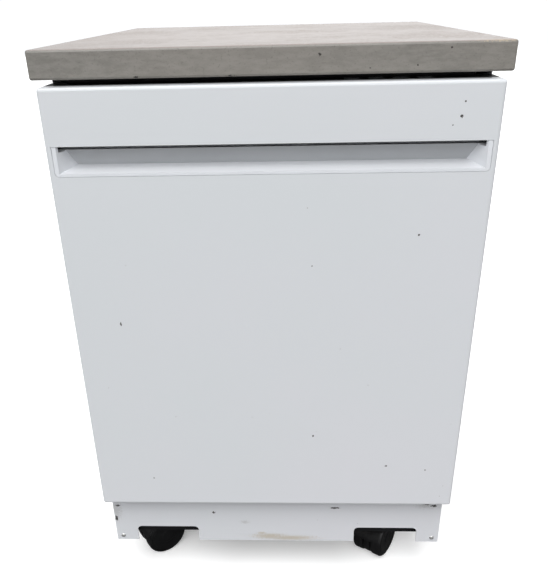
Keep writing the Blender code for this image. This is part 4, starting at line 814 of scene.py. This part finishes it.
def wire_basket(low_z, high_z, across, along):
    """The rings and the U wires of a rack between two heights, with this many wires each way."""
    work = Wirework(VINYL)
    for z, radius in ((high_z - RIM_WIRE, RIM_WIRE), (low_z + MESH_WIRE * 3, MESH_WIRE * 1.2)):
        side, ends = RACK_X - radius, (RACK_Y[0] + radius, RACK_Y[1] - radius)
        work.loop((-side, side), ends, z, radius)
    middle = low_z + 0.5 * (high_z - low_z)
    side, ends = RACK_X - MESH_WIRE, (RACK_Y[0] + MESH_WIRE, RACK_Y[1] - MESH_WIRE)
    work.loop((-side, side), ends, middle, MESH_WIRE)
    inset = 2 * RIM_WIRE + MESH_WIRE * 0.2
    side, top = RACK_X - inset, high_z - RIM_WIRE
    floor_across, floor_along = low_z + 3 * MESH_WIRE, low_z + MESH_WIRE
    first, last = RACK_Y[0] + 0.036, RACK_Y[1] - 0.036
    corners = [
        (-side, first, top), (-side, first, floor_across),
        (side, first, floor_across), (side, first, top),
    ]
    work.wire(corners, MESH_WIRE, across, (0, (last - first) / (across - 1), 0), bend=0.010)
    first_x = RACK_X - 0.036
    ends = (RACK_Y[0] + inset, RACK_Y[1] - inset)
    corners = [
        (-first_x, ends[0], top), (-first_x, ends[0], floor_along),
        (-first_x, ends[1], floor_along), (-first_x, ends[1], top),
    ]
    work.wire(corners, MESH_WIRE, along, (2 * first_x / (along - 1), 0, 0), bend=0.010)
    return work


def tine_row(work, start, height, copies, step, lean=(0, 0)):
    """A row of upright tines from a runner wire."""
    start = Vector(start)
    tip = start + Vector((lean[0], lean[1], height))
    work.wire([start, tip], TINE_WIRE, copies, step, sides=6)
    end = start + Vector(step) * (copies - 1)
    work.wire([start, end], TINE_WIRE, sides=6)


print("basket helper ready")

# %% Lower rack
LOWER_Z = (RACK_LOW.z + 0.0289, RACK_HIGH.z)  # the basket stands above the wheels' lowest points
BASKET_LOW, BASKET_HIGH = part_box("silverware_basket")
lower = wire_basket(*LOWER_Z, 14, 13)
for row in range(6):
    y = RACK_Y[0] + 0.075 + 0.078 * row
    beside_basket = BASKET_LOW.y - 0.01 < y < BASKET_HIGH.y + 0.01
    tine_row(
        lower, (-0.214, y, LOWER_Z[0] + 5 * MESH_WIRE), 0.078, 15 if beside_basket else 19,
        (0.0238, 0, 0), lean=(0, 0.012),
    )
for name, joint in JOINTS.items():
    if not name.startswith("rack_wheel"):
        continue
    x, y, z = joint["pos_m"]
    side = math.copysign(1, x)
    inner, outer = sorted((side * (RACK_X - 0.0035), side * (RACK_X + 0.0019)))
    block(lower.bm, (inner, y - 0.009, z - 0.0089), (outer, y + 0.009, LOWER_Z[0] + 0.022), 0.0012)
    place = Matrix.Translation((side * RACK_X, y, z)) @ Matrix.Rotation(side * math.pi / 2, 4, "Y")
    turned(lower.bm, [(0, 0), (0.003, 0), (0.003, 0.0148), (0.0022, 0.0155), (0, 0.0155)], place, 16)
lower_wires = piece_from("lower_rack_wires", lower.bm, VINYL)
hand_in(lower_wires, "lower_rack", "rack_vinyl", "lower_rack")
print(len(lower_wires.data.polygons), "faces")

# %% Upper rack
UPPER_LOW, UPPER_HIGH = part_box("upper_rack")
upper = wire_basket(UPPER_LOW.z, UPPER_HIGH.z, 14, 13)
for x in (-0.155, -0.062, 0.062, 0.155):
    tine_row(
        upper, (x, RACK_Y[0] + 0.060, UPPER_LOW.z + 5 * MESH_WIRE), 0.060, 13, (0, 0.0342, 0),
        lean=(math.copysign(0.010, x), 0),
    )
RAIL_LOW, RAIL_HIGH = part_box("rack_rail_left")
rail_z = (RAIL_LOW.z + RAIL_HIGH.z) / 2
RUNNER = (UPPER_HIGH.y - 0.150, UPPER_HIGH.y - 0.040)  # its two ends
for side in (-1, 1):
    x = sorted((side * (RACK_X - 0.0045), side * UPPER_HIGH.x))
    block(upper.bm, (x[0], RUNNER[0], rail_z - 0.0064), (x[1], RUNNER[1], rail_z + 0.0064), 0.0020)
upper_wires = piece_from("upper_rack_wires", upper.bm, VINYL)
hand_in(upper_wires, "upper_rack", "rack_vinyl", "upper_rack")
print(len(upper_wires.data.polygons), "faces")

# %% [markdown]
# ## Repeated small parts
# Screws, spray nozzles and slats are one small part set at many places. A second tree does that:
# it takes a mesh whose points are the places, sets the part on each, and may turn each by its own
# seeded amount, because no two screws stop at the same angle.

# %% Set-at-places tree


def places_tree():
    """Sets a part at each point, tilted alike and spun about its own axis by a seeded amount."""
    tree, given, out = new_tree("set_at_places", [
        ("Part", "Object", None), ("Tilt", "Vector", (0, 0, 0)), ("Spin", "Float", 0.0),
        ("Seed", "Int", 3), ("Finish", "Material", None),
    ])
    part = step_node(tree, "GeometryNodeObjectInfo", {"Object": given["Part"]})
    spin = step_node(
        tree, "FunctionNodeRandomValue",
        {2: 0.0, 3: given["Spin"], "Seed": given["Seed"]}, data_type="FLOAT",
    )
    about = step_node(tree, "ShaderNodeCombineXYZ", {"Z": spin.outputs[1]})
    tilted = step_node(
        tree, "GeometryNodeInstanceOnPoints",
        {
            "Points": given["Geometry"], "Instance": part.outputs["Geometry"],
            "Rotation": given["Tilt"],
        },
    )
    spun = step_node(
        tree, "GeometryNodeRotateInstances",
        {"Instances": tilted.outputs[0], "Rotation": about.outputs[0], "Local Space": True},
    )
    close_tree(tree, given, out, spun.outputs[0])
    return tree


PLACES_TREE = places_tree()


def set_at(name, part_bm, places, finish, tilt=(0, 0, 0), spin=0.0):
    """One piece of many equal parts. A part stands along +Z before it is tilted."""
    bmesh.ops.recalc_face_normals(part_bm, faces=part_bm.faces)
    part_mesh = bpy.data.meshes.new("part")
    part_bm.to_mesh(part_mesh)
    part_bm.free()
    part = bpy.data.objects.new("part", part_mesh)
    bpy.context.scene.collection.objects.link(part)
    points = bpy.data.meshes.new("places")
    points.from_pydata([tuple(map(float, p)) for p in places], [], [])
    made = grown(points, PLACES_TREE, finish, Part=part, Tilt=tuple(map(float, tilt)), Spin=spin)
    bpy.data.objects.remove(part)
    bm = bmesh.new()
    bm.from_mesh(made)
    return piece_from(name, bm, finish)


def screw_head(radius=0.0040, height=0.0022):
    """A low domed head with a cross recess."""
    bm = bmesh.new()
    dome = [
        (0, 0), (radius, 0), (radius, height * 0.35), (radius * 0.86, height * 0.72),
        (radius * 0.5, height * 0.96),
    ]
    inner = turned(bm, dome, sides=24)[-1]
    top = bm.verts.new((0, 0, height * 0.45))
    arm, reach = radius * 0.11, radius * 0.42
    cross = []
    for turn in range(4):
        way = Matrix.Rotation(turn * math.pi / 2, 4, "Z")
        corners = ((reach, -arm, height), (reach, arm, height), (arm, arm, height))
        cross += [bm.verts.new(way @ Vector(p)) for p in corners]
    for turn in range(4):
        last, *corners = (cross[3 * turn + n] for n in (-1, 0, 1, 2))
        for pair in zip((last, *corners), corners):
            bm.faces.new([top, *pair])
    ring_edges = [bm.edges.get((inner[n], inner[(n + 1) % 24])) for n in range(24)]
    cross_edges = [bm.edges.get((cross[n], cross[(n + 1) % 12])) for n in range(12)]
    bmesh.ops.triangle_fill(bm, edges=ring_edges + cross_edges, use_beauty=True)
    return bm


print("places tree:", [item.name for item in PLACES_TREE.interface.items_tree])

# %% [markdown]
# ## Casters
# Each caster has two wheels beside a central plate, under a hood that turns on its stem. The
# wheels are turned shapes with a rounded tread, a ring groove and a hub cap. The hood is a wall
# swept round the axle, and its boss stands on it under the stem.

# %% Caster wheels
CASTERS = ("front_left", "front_right", "rear_left", "rear_right")
WHEEL_R, HALF_WIDTH = 0.040, 0.030
WHEEL_START = 0.0082  # from the middle of the caster to a wheel's inner face
WHEEL_WIDE = HALF_WIDTH - WHEEL_START


def wheel_profile(radius, wide):
    """A wheel from its open inner face to its hub cap, with a rounded tread and a ring groove."""
    bore, depth = 0.0045, wide * 0.74
    return [
        (0, depth), (bore, depth), (bore, 0), (radius * 0.90, 0), (radius * 0.965, 0.0006),
        (radius * 0.992, 0.0022), (radius, 0.0045), (radius, wide - 0.0062), (radius * 0.985, wide - 0.0040),
        (radius * 0.945, wide - 0.0022), (radius * 0.88, wide - 0.0012), (radius * 0.865, wide - 0.0022),
        (radius * 0.835, wide - 0.0022), (radius * 0.82, wide - 0.0009), (radius * 0.60, wide - 0.0004),
        (radius * 0.36, wide - 0.0012), (radius * 0.33, wide - 0.0004), (radius * 0.30, wide),
        (radius * 0.12, wide), (0, wide - 0.0003),
    ]


def along(axle, centre):
    """A place at the centre whose Z runs along the axle."""
    return Matrix.Translation(centre) @ Vector(axle).to_track_quat("Z", "Y").to_matrix().to_4x4()


for end in CASTERS:
    for side, hand in ((-1, "left"), (1, "right")):
        joint = JOINTS[f"caster_wheel_{end}_{hand}_roll"]
        axle = Vector(joint["axis"]) * side
        start = Vector(joint["pos_m"]) + axle * WHEEL_START
        bm = bmesh.new()
        turned(bm, wheel_profile(WHEEL_R, WHEEL_WIDE), along(axle, start), 64)
        wheel = piece_from(f"caster_tyre_{end}_{hand}", bm, CASTER_TREAD)
        body = f"caster_wheel_{end}_{hand}"
        hand_in(wheel, body, "caster_tread", body)
print("wheels of radius", WHEEL_R, "m")

# %% Caster hoods
HOOD_OUT, HOOD_IN, HOOD_EDGE = 0.0441, 0.0413, 0.0122  # radii, and the lower edge above the axle
BOSS_R, BOSS_TOP, STEM_R, STEM_TOP = 0.0108, 0.0922, 0.0054, 0.1108
PLATE_R, PLATE_HALF = 0.0420, 0.0062  # the plate between the wheels


def swept_hood(bm, centre, axle):
    """The hood's wall: a rounded cross-section swept over the top of the wheels."""
    ahead = Vector((-axle.y, axle.x, 0))
    up = Vector((0, 0, 1))
    edge, steps = 0.0013, 30
    wall = [
        (HOOD_IN, -HALF_WIDTH + edge), (HOOD_IN + edge, -HALF_WIDTH), (HOOD_OUT - edge, -HALF_WIDTH + 0.0001),
        (HOOD_OUT - 0.0003, -HALF_WIDTH + 0.0016), (HOOD_OUT, -HALF_WIDTH + 0.006),
        (HOOD_OUT, HALF_WIDTH - 0.006), (HOOD_OUT - 0.0003, HALF_WIDTH - 0.0016),
        (HOOD_OUT - edge, HALF_WIDTH - 0.0001), (HOOD_IN + edge, HALF_WIDTH), (HOOD_IN, HALF_WIDTH - edge),
    ]
    first = math.asin(HOOD_EDGE / HOOD_OUT)
    sections = []
    for step in range(steps + 1):
        turn = first + (math.pi - 2 * first) * step / steps
        out = ahead * math.cos(turn) + up * math.sin(turn)
        sections.append([bm.verts.new(centre + out * r + axle * a) for r, a in wall])
    for one, two in zip(sections, sections[1:]):
        for n in range(len(wall)):
            m = (n + 1) % len(wall)
            bm.faces.new((one[n], one[m], two[m], two[n]))
    bm.faces.new(sections[0])
    bm.faces.new(sections[-1])


def middle_plate(bm, centre, axle):
    """The half-round plate between the wheels, up to the hood."""
    ahead, steps = Vector((-axle.y, axle.x, 0)), 24
    first = math.asin(HOOD_EDGE / PLATE_R)
    turns = [first + 0.04 + (math.pi - 2 * first - 0.08) * n / steps for n in range(steps + 1)]
    rim = [
        ahead * math.cos(t) * PLATE_R + Vector((0, 0, 1)) * math.sin(t) * PLATE_R for t in turns
    ]
    faces = [[bm.verts.new(centre + p + axle * a) for p in rim] for a in (-PLATE_HALF, PLATE_HALF)]
    for n in range(len(rim)):
        m = (n + 1) % len(rim)
        bm.faces.new((faces[0][n], faces[0][m], faces[1][m], faces[1][n]))
    for face in faces:
        bm.faces.new(face)


def stem_and_boss(bm, x, y, centre, axle):
    """The boss under the stem. Its lower end follows the hood's inner wall, clear of the wheels."""
    profile = [
        (0, 0.050), (BOSS_R + 0.004, 0.050), (BOSS_R + 0.004, 0.0775), (BOSS_R + 0.0012, 0.0800),
        (BOSS_R, 0.0835), (BOSS_R, BOSS_TOP - 0.001), (BOSS_R - 0.001, BOSS_TOP), (0, BOSS_TOP),
    ]
    ahead = Vector((-axle.y, axle.x, 0))
    for ring in turned(bm, profile, Matrix.Translation((x, y, 0)), 32):
        for vert in ring:
            off = (vert.co - centre).dot(ahead)
            well = centre.z + math.sqrt(max(0.0, (HOOD_IN + 0.0004) ** 2 - min(abs(off), HOOD_IN) ** 2))
            vert.co.z = max(vert.co.z, well)
    stem = [
        (0, BOSS_TOP - 0.002), (STEM_R, BOSS_TOP - 0.002), (STEM_R, STEM_TOP - 0.001),
        (STEM_R - 0.001, STEM_TOP), (0, STEM_TOP),
    ]
    turned(bm, stem, Matrix.Translation((x, y, 0)), 24)


for end in CASTERS:
    x, y, _ = JOINTS[f"caster_swivel_{end}_turn"]["pos_m"]
    joint = JOINTS[f"caster_wheel_{end}_right_roll"]
    axle, centre = Vector(joint["axis"]), Vector(joint["pos_m"])
    bm = bmesh.new()
    swept_hood(bm, centre, axle)
    core = [(0, 0), (0.0370, 0), (0.0385, 0.0015), (0.0385, 0.0121), (0.0370, 0.0136), (0, 0.0136)]
    turned(bm, core, along(axle, centre - axle * 0.0068), 48)
    web = [(0, 0), (0.0040, 0), (0.0040, 0.0440), (0, 0.0440)]
    turned(bm, web, along(axle, centre - axle * 0.022), 16)
    middle_plate(bm, centre, axle)
    stem_and_boss(bm, x, y, centre, axle)
    hood = piece_from(f"caster_cover_{end}", bm, CASTER_PLASTIC)
    hand_in(hood, f"caster_swivel_{end}", "black_plastic", f"caster_hood_{end}")
print("hoods over", len(CASTERS), "casters")

# %% [markdown]
# ## Silverware basket
# The cutlery basket is moulded plastic with slatted walls, two pockets and an arched handle. Its
# slats come from the set-at-places tree, and its corner posts, bands and floor are blocks.

# %% Silverware basket


def slat(size):
    """One upright bar."""
    bm = bmesh.new()
    block(bm, (-size[0] / 2, -size[1] / 2, 0), (size[0] / 2, size[1] / 2, size[2]), 0.0004)
    return bm


def make_basket():
    """The basket's frame, slats and handle, made as three pieces on the lower rack."""
    low, high, wall = BASKET_LOW, BASKET_HIGH, 0.0022
    bm = bmesh.new()
    middle = (low.y + high.y) / 2
    floor_top = low.z + 0.003
    for z in (low.z, (low.z + high.z) / 2 - 0.003, high.z - 0.008):
        height = 0.008 if z > low.z + 0.1 else 0.006
        for x in (low.x, high.x - wall):
            block(bm, (x, low.y, z), (x + wall, high.y, z + height), 0.0007)
        for y in (low.y, middle - wall / 2, high.y - wall):
            block(bm, (low.x, y, z), (high.x, y + wall, z + height), 0.0007)
    for x in (low.x, high.x - 0.005):
        for y in (low.y, middle - 0.0025, high.y - 0.005):
            block(bm, (x, y, low.z), (x + 0.005, y + 0.005, high.z - 0.001), 0.0008)
    rows = 9
    for n in range(rows):
        x = low.x + 0.006 + (high.x - low.x - 0.012) * n / (rows - 1)
        block(bm, (x - 0.0012, low.y + 0.001, low.z), (x + 0.0012, high.y - 0.001, floor_top), 0.0004)
    for n in range(24):
        y = low.y + 0.010 + (high.y - low.y - 0.020) * n / 23
        start, end = (low.x + 0.001, y - 0.0012), (high.x - 0.001, y + 0.0012)
        block(bm, (*start, low.z + 0.0004), (*end, floor_top - 0.0004), 0.0004)
    frame_piece = piece_from("basket_frame", bm, GREY_PLASTIC)
    gaps, inset = 0.0085, wall / 2
    places = []
    for x in (low.x + inset, high.x - inset):
        count = round((high.y - low.y) / gaps)
        places += [(x, low.y + (high.y - low.y) * n / count, low.z + 0.002) for n in range(1, count)]
    for y in (low.y + inset, middle, high.y - inset):
        count = round((high.x - low.x) / gaps)
        places += [(low.x + (high.x - low.x) * n / count, y, low.z + 0.002) for n in range(1, count)]
    slats = set_at("basket_slats", slat((0.0020, 0.0020, high.z - low.z - 0.004)), places, GREY_PLASTIC)
    arch = Wirework(GREY_PLASTIC)
    x = (low.x + high.x) / 2
    arch.wire(
        [(x, middle - 0.045, high.z - 0.004), (x, middle - 0.030, high.z + 0.022),
         (x, middle + 0.030, high.z + 0.022), (x, middle + 0.045, high.z - 0.004)], 0.0032, bend=0.016,
    )
    for y in (middle - 0.045, middle + 0.045):
        arch.wire([(low.x + 0.003, y, high.z - 0.004), (high.x - 0.003, y, high.z - 0.004)], 0.0022)
    handle = piece_from("basket_handle", arch.bm, GREY_PLASTIC)
    hand_in(frame_piece, "lower_rack", "grey_plastic", "silverware_basket")
    for piece in (slats, handle):
        hand_in(piece, "lower_rack", "grey_plastic")
    return len(places)


print(make_basket(), "slats")

# %% [markdown]
# ## Fixings, beads and nozzles
# Screws hold the kick panel, the back and the sides. Pressed beads stiffen the back sheet, the
# tub's walls and the inside of the door; each is a wire sunk to half its depth in the sheet.

# %% Screws
KICK_HOLE_X, KICK_HOLE_Z = 0.285, 0.1007
SCREW_SPIN, SUNK = 1.5, 0.0002  # the most a screw is turned by, and how far its head is let in
kick_screws = set_at(
    "kick_screws", screw_head(0.0042, 0.0022),
    [(side * KICK_HOLE_X, KICK_FACE + 0.0004, KICK_HOLE_Z) for side in (-1, 1)], ZINC,
    tilt=(math.pi / 2, 0, 0), spin=SCREW_SPIN,
)
hand_in(kick_screws, "cabinet", "zinc_plate")
BACK_LOW, BACK_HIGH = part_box("back_panel")
rows = [BACK_LOW.z + 0.012 + (BACK_HIGH.z - BACK_LOW.z - 0.024) * n / 6 for n in range(7)]
places = [(side * 0.288, BACK_HIGH.y - SUNK, z) for z in rows for side in (-1, 1)]
places += [(x, BACK_HIGH.y - SUNK, z) for z in (rows[0], rows[-1]) for x in (-0.144, 0, 0.144)]
back_screws = set_at(
    "back_screws", screw_head(0.0045, 0.0024), places, ZINC, tilt=(-math.pi / 2, 0, 0),
    spin=SCREW_SPIN,
)
hand_in(back_screws, "cabinet", "zinc_plate")
for hand, side in (("left", -1), ("right", 1)):
    low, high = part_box(f"side_panel_{hand}")
    face = low.x if side < 0 else high.x
    depths = (low.y + 0.03, (low.y + high.y) / 2, high.y - 0.03)
    screws = set_at(
        f"side_screws_{hand}", screw_head(0.0042, 0.0022),
        [(face - side * SUNK, y, low.z + 0.014) for y in depths], ZINC,
        tilt=(0, side * math.pi / 2, 0), spin=SCREW_SPIN,
    )
    hand_in(screws, "cabinet", "zinc_plate")
print(len(rows) * 2 + 6, "screws on the back")

# %% Pressed beads
beads = Wirework(ZINC)
for z in (0.26, 0.40, 0.54, 0.68, 0.82):
    y = BACK_HIGH.y - 0.0032
    beads.wire([(-0.235, y, z), (0.235, y, z)], 0.0050, sides=16)
for x in (-0.262, 0.262):
    beads.wire([(x, BACK_HIGH.y - 0.0026, 0.26), (x, BACK_HIGH.y - 0.0026, 0.82)], 0.0040, sides=16)
hand_in(piece_from("back_beads", beads.bm, ZINC), "cabinet", "zinc_plate")
TUB_SIDE, TUB_REAR = 0.270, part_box("tub")[1].y - 0.003
ribs = Wirework(TUB_PLASTIC)
for side in (-1, 1):
    x = side * (TUB_SIDE + 0.0018)
    for span in ((0.318, 0.570), (0.632, 0.828)):
        ribs.wire([(x, -0.235, span[0]), (x, -0.235, span[1])], 0.0042, 11, (0, 0.046, 0), sides=12)
for x in (-0.23, 0.046):
    y = TUB_REAR + 0.0018
    ribs.wire([(x, y, 0.318), (x, y, 0.828)], 0.0042, 5, (0.046, 0, 0), sides=12)
hand_in(piece_from("tub_ribs", ribs.bm, TUB_PLASTIC), "cabinet", "tub_plastic")
panel = Wirework(TUB_PLASTIC)
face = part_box("inner_door")[1].y - 0.0012
for z in ((0.300, 0.408), (0.596, 0.800)):
    panel.standing_loop((-0.236, 0.236), face, z, 0.0034, 0.022)
for z in (0.340, 0.368, 0.640, 0.680, 0.720, 0.760):
    panel.wire([(-0.20, face, z), (0.20, face, z)], 0.0030, sides=12)
hand_in(piece_from("inner_door_beads", panel.bm, TUB_PLASTIC), "door", "tub_plastic")
print("beads pressed")

# %% Door seal
SEAL_LOW, SEAL_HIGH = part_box("tub_gasket")
seal = Wirework(SEAL_RUBBER)
middle_y = (SEAL_LOW.y + SEAL_HIGH.y) / 2
lips = [(inset, 0, 0.0017, 0.016, 12) for inset in (0.0017, 0.0060, 0.0103)]
lips += [(inset, 0.0006, 0.0009, 0.014, 8) for inset in (0.0038, 0.0081)]
for inset, back, radius, bend, sides in lips:
    x = (SEAL_LOW.x + inset, SEAL_HIGH.x - inset)
    z = (SEAL_LOW.z + inset, SEAL_HIGH.z - inset)
    seal.standing_loop(x, middle_y + back, z, radius, bend - inset * 0.6, sides)
hand_in(piece_from("seal_lips", seal.bm, SEAL_RUBBER), "cabinet", "rubber", "tub_gasket")
print("seal round", round(SEAL_HIGH.x - SEAL_LOW.x, 3), "m")

# %% Spray nozzles


def nozzle():
    """A raised ring with a hollow middle."""
    bm = bmesh.new()
    ring = [
        (0, 0.0002), (0.0016, 0.0002), (0.0016, 0.0016), (0.0024, 0.0018), (0.0034, 0.0010),
        (0.0038, -0.0004), (0, -0.0004),
    ]
    turned(bm, ring, sides=20)
    return bm


for arm in ("lower_spray_arm", "middle_spray_arm"):
    low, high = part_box(arm)
    blade_top = high.z - 0.003 + 0.0001
    y = (low.y + high.y) / 2
    places = [
        (side * r, y + side * 0.006 * (1 if n % 2 else -1), blade_top)
        for side in (-1, 1) for n, r in enumerate((0.040, 0.072, 0.104, 0.136, 0.168, 0.196))
    ]
    nozzles = set_at(f"nozzles_{arm.split('_')[0]}", nozzle(), places, BUTTON_PLASTIC)
    hand_in(nozzles, arm, "button_plastic")
print("nozzles on both arms")

# %% [markdown]
# ## Dispenser and console details
# The detergent lid has grip ribs, the rinse cap a finger bar, and a small round light sits before
# each button of the console.

# %% Small details
LID_LOW, LID_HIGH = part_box("dispenser_lid")
rib_z = (LID_LOW.z + LID_HIGH.z) / 2 - 0.022
ribs = [(LID_LOW.x + 0.012 + 0.004 * n, LID_HIGH.y - 0.0004, rib_z) for n in range(5)]
grip = set_at("lid_grip", slat((0.0016, 0.0020, 0.044)), ribs, GREY_PLASTIC)
hand_in(grip, "dispenser_lid", "grey_plastic")
CAP_LOW, CAP_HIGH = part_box("rinse_cap")
cap_x, cap_z = (CAP_LOW.x + CAP_HIGH.x) / 2, (CAP_LOW.z + CAP_HIGH.z) / 2
bm = bmesh.new()
block(
    bm, (cap_x - 0.0028, CAP_HIGH.y - 0.0004, cap_z - 0.0135),
    (cap_x + 0.0028, CAP_HIGH.y + 0.0022, cap_z + 0.0135), 0.0010,
)
hand_in(piece_from("cap_grip", bm, BLACK_PLASTIC), "rinse_cap", "black_plastic")
lights = []
for number in range(1, 5):
    low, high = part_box(f"console_button_{number}")
    lights.append(((low.x + high.x) / 2, low.y - 0.0045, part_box("control_console")[1].z - 0.0002))
bm = bmesh.new()
turned(bm, [(0, 0), (0.0013, 0), (0.0013, 0.0005), (0.0008, 0.0008), (0, 0.0009)], sides=20)
hand_in(set_at("console_lights", bm, lights, BUTTON_PLASTIC), "door", "button_plastic")
print(len(PIECES), "pieces dressed")
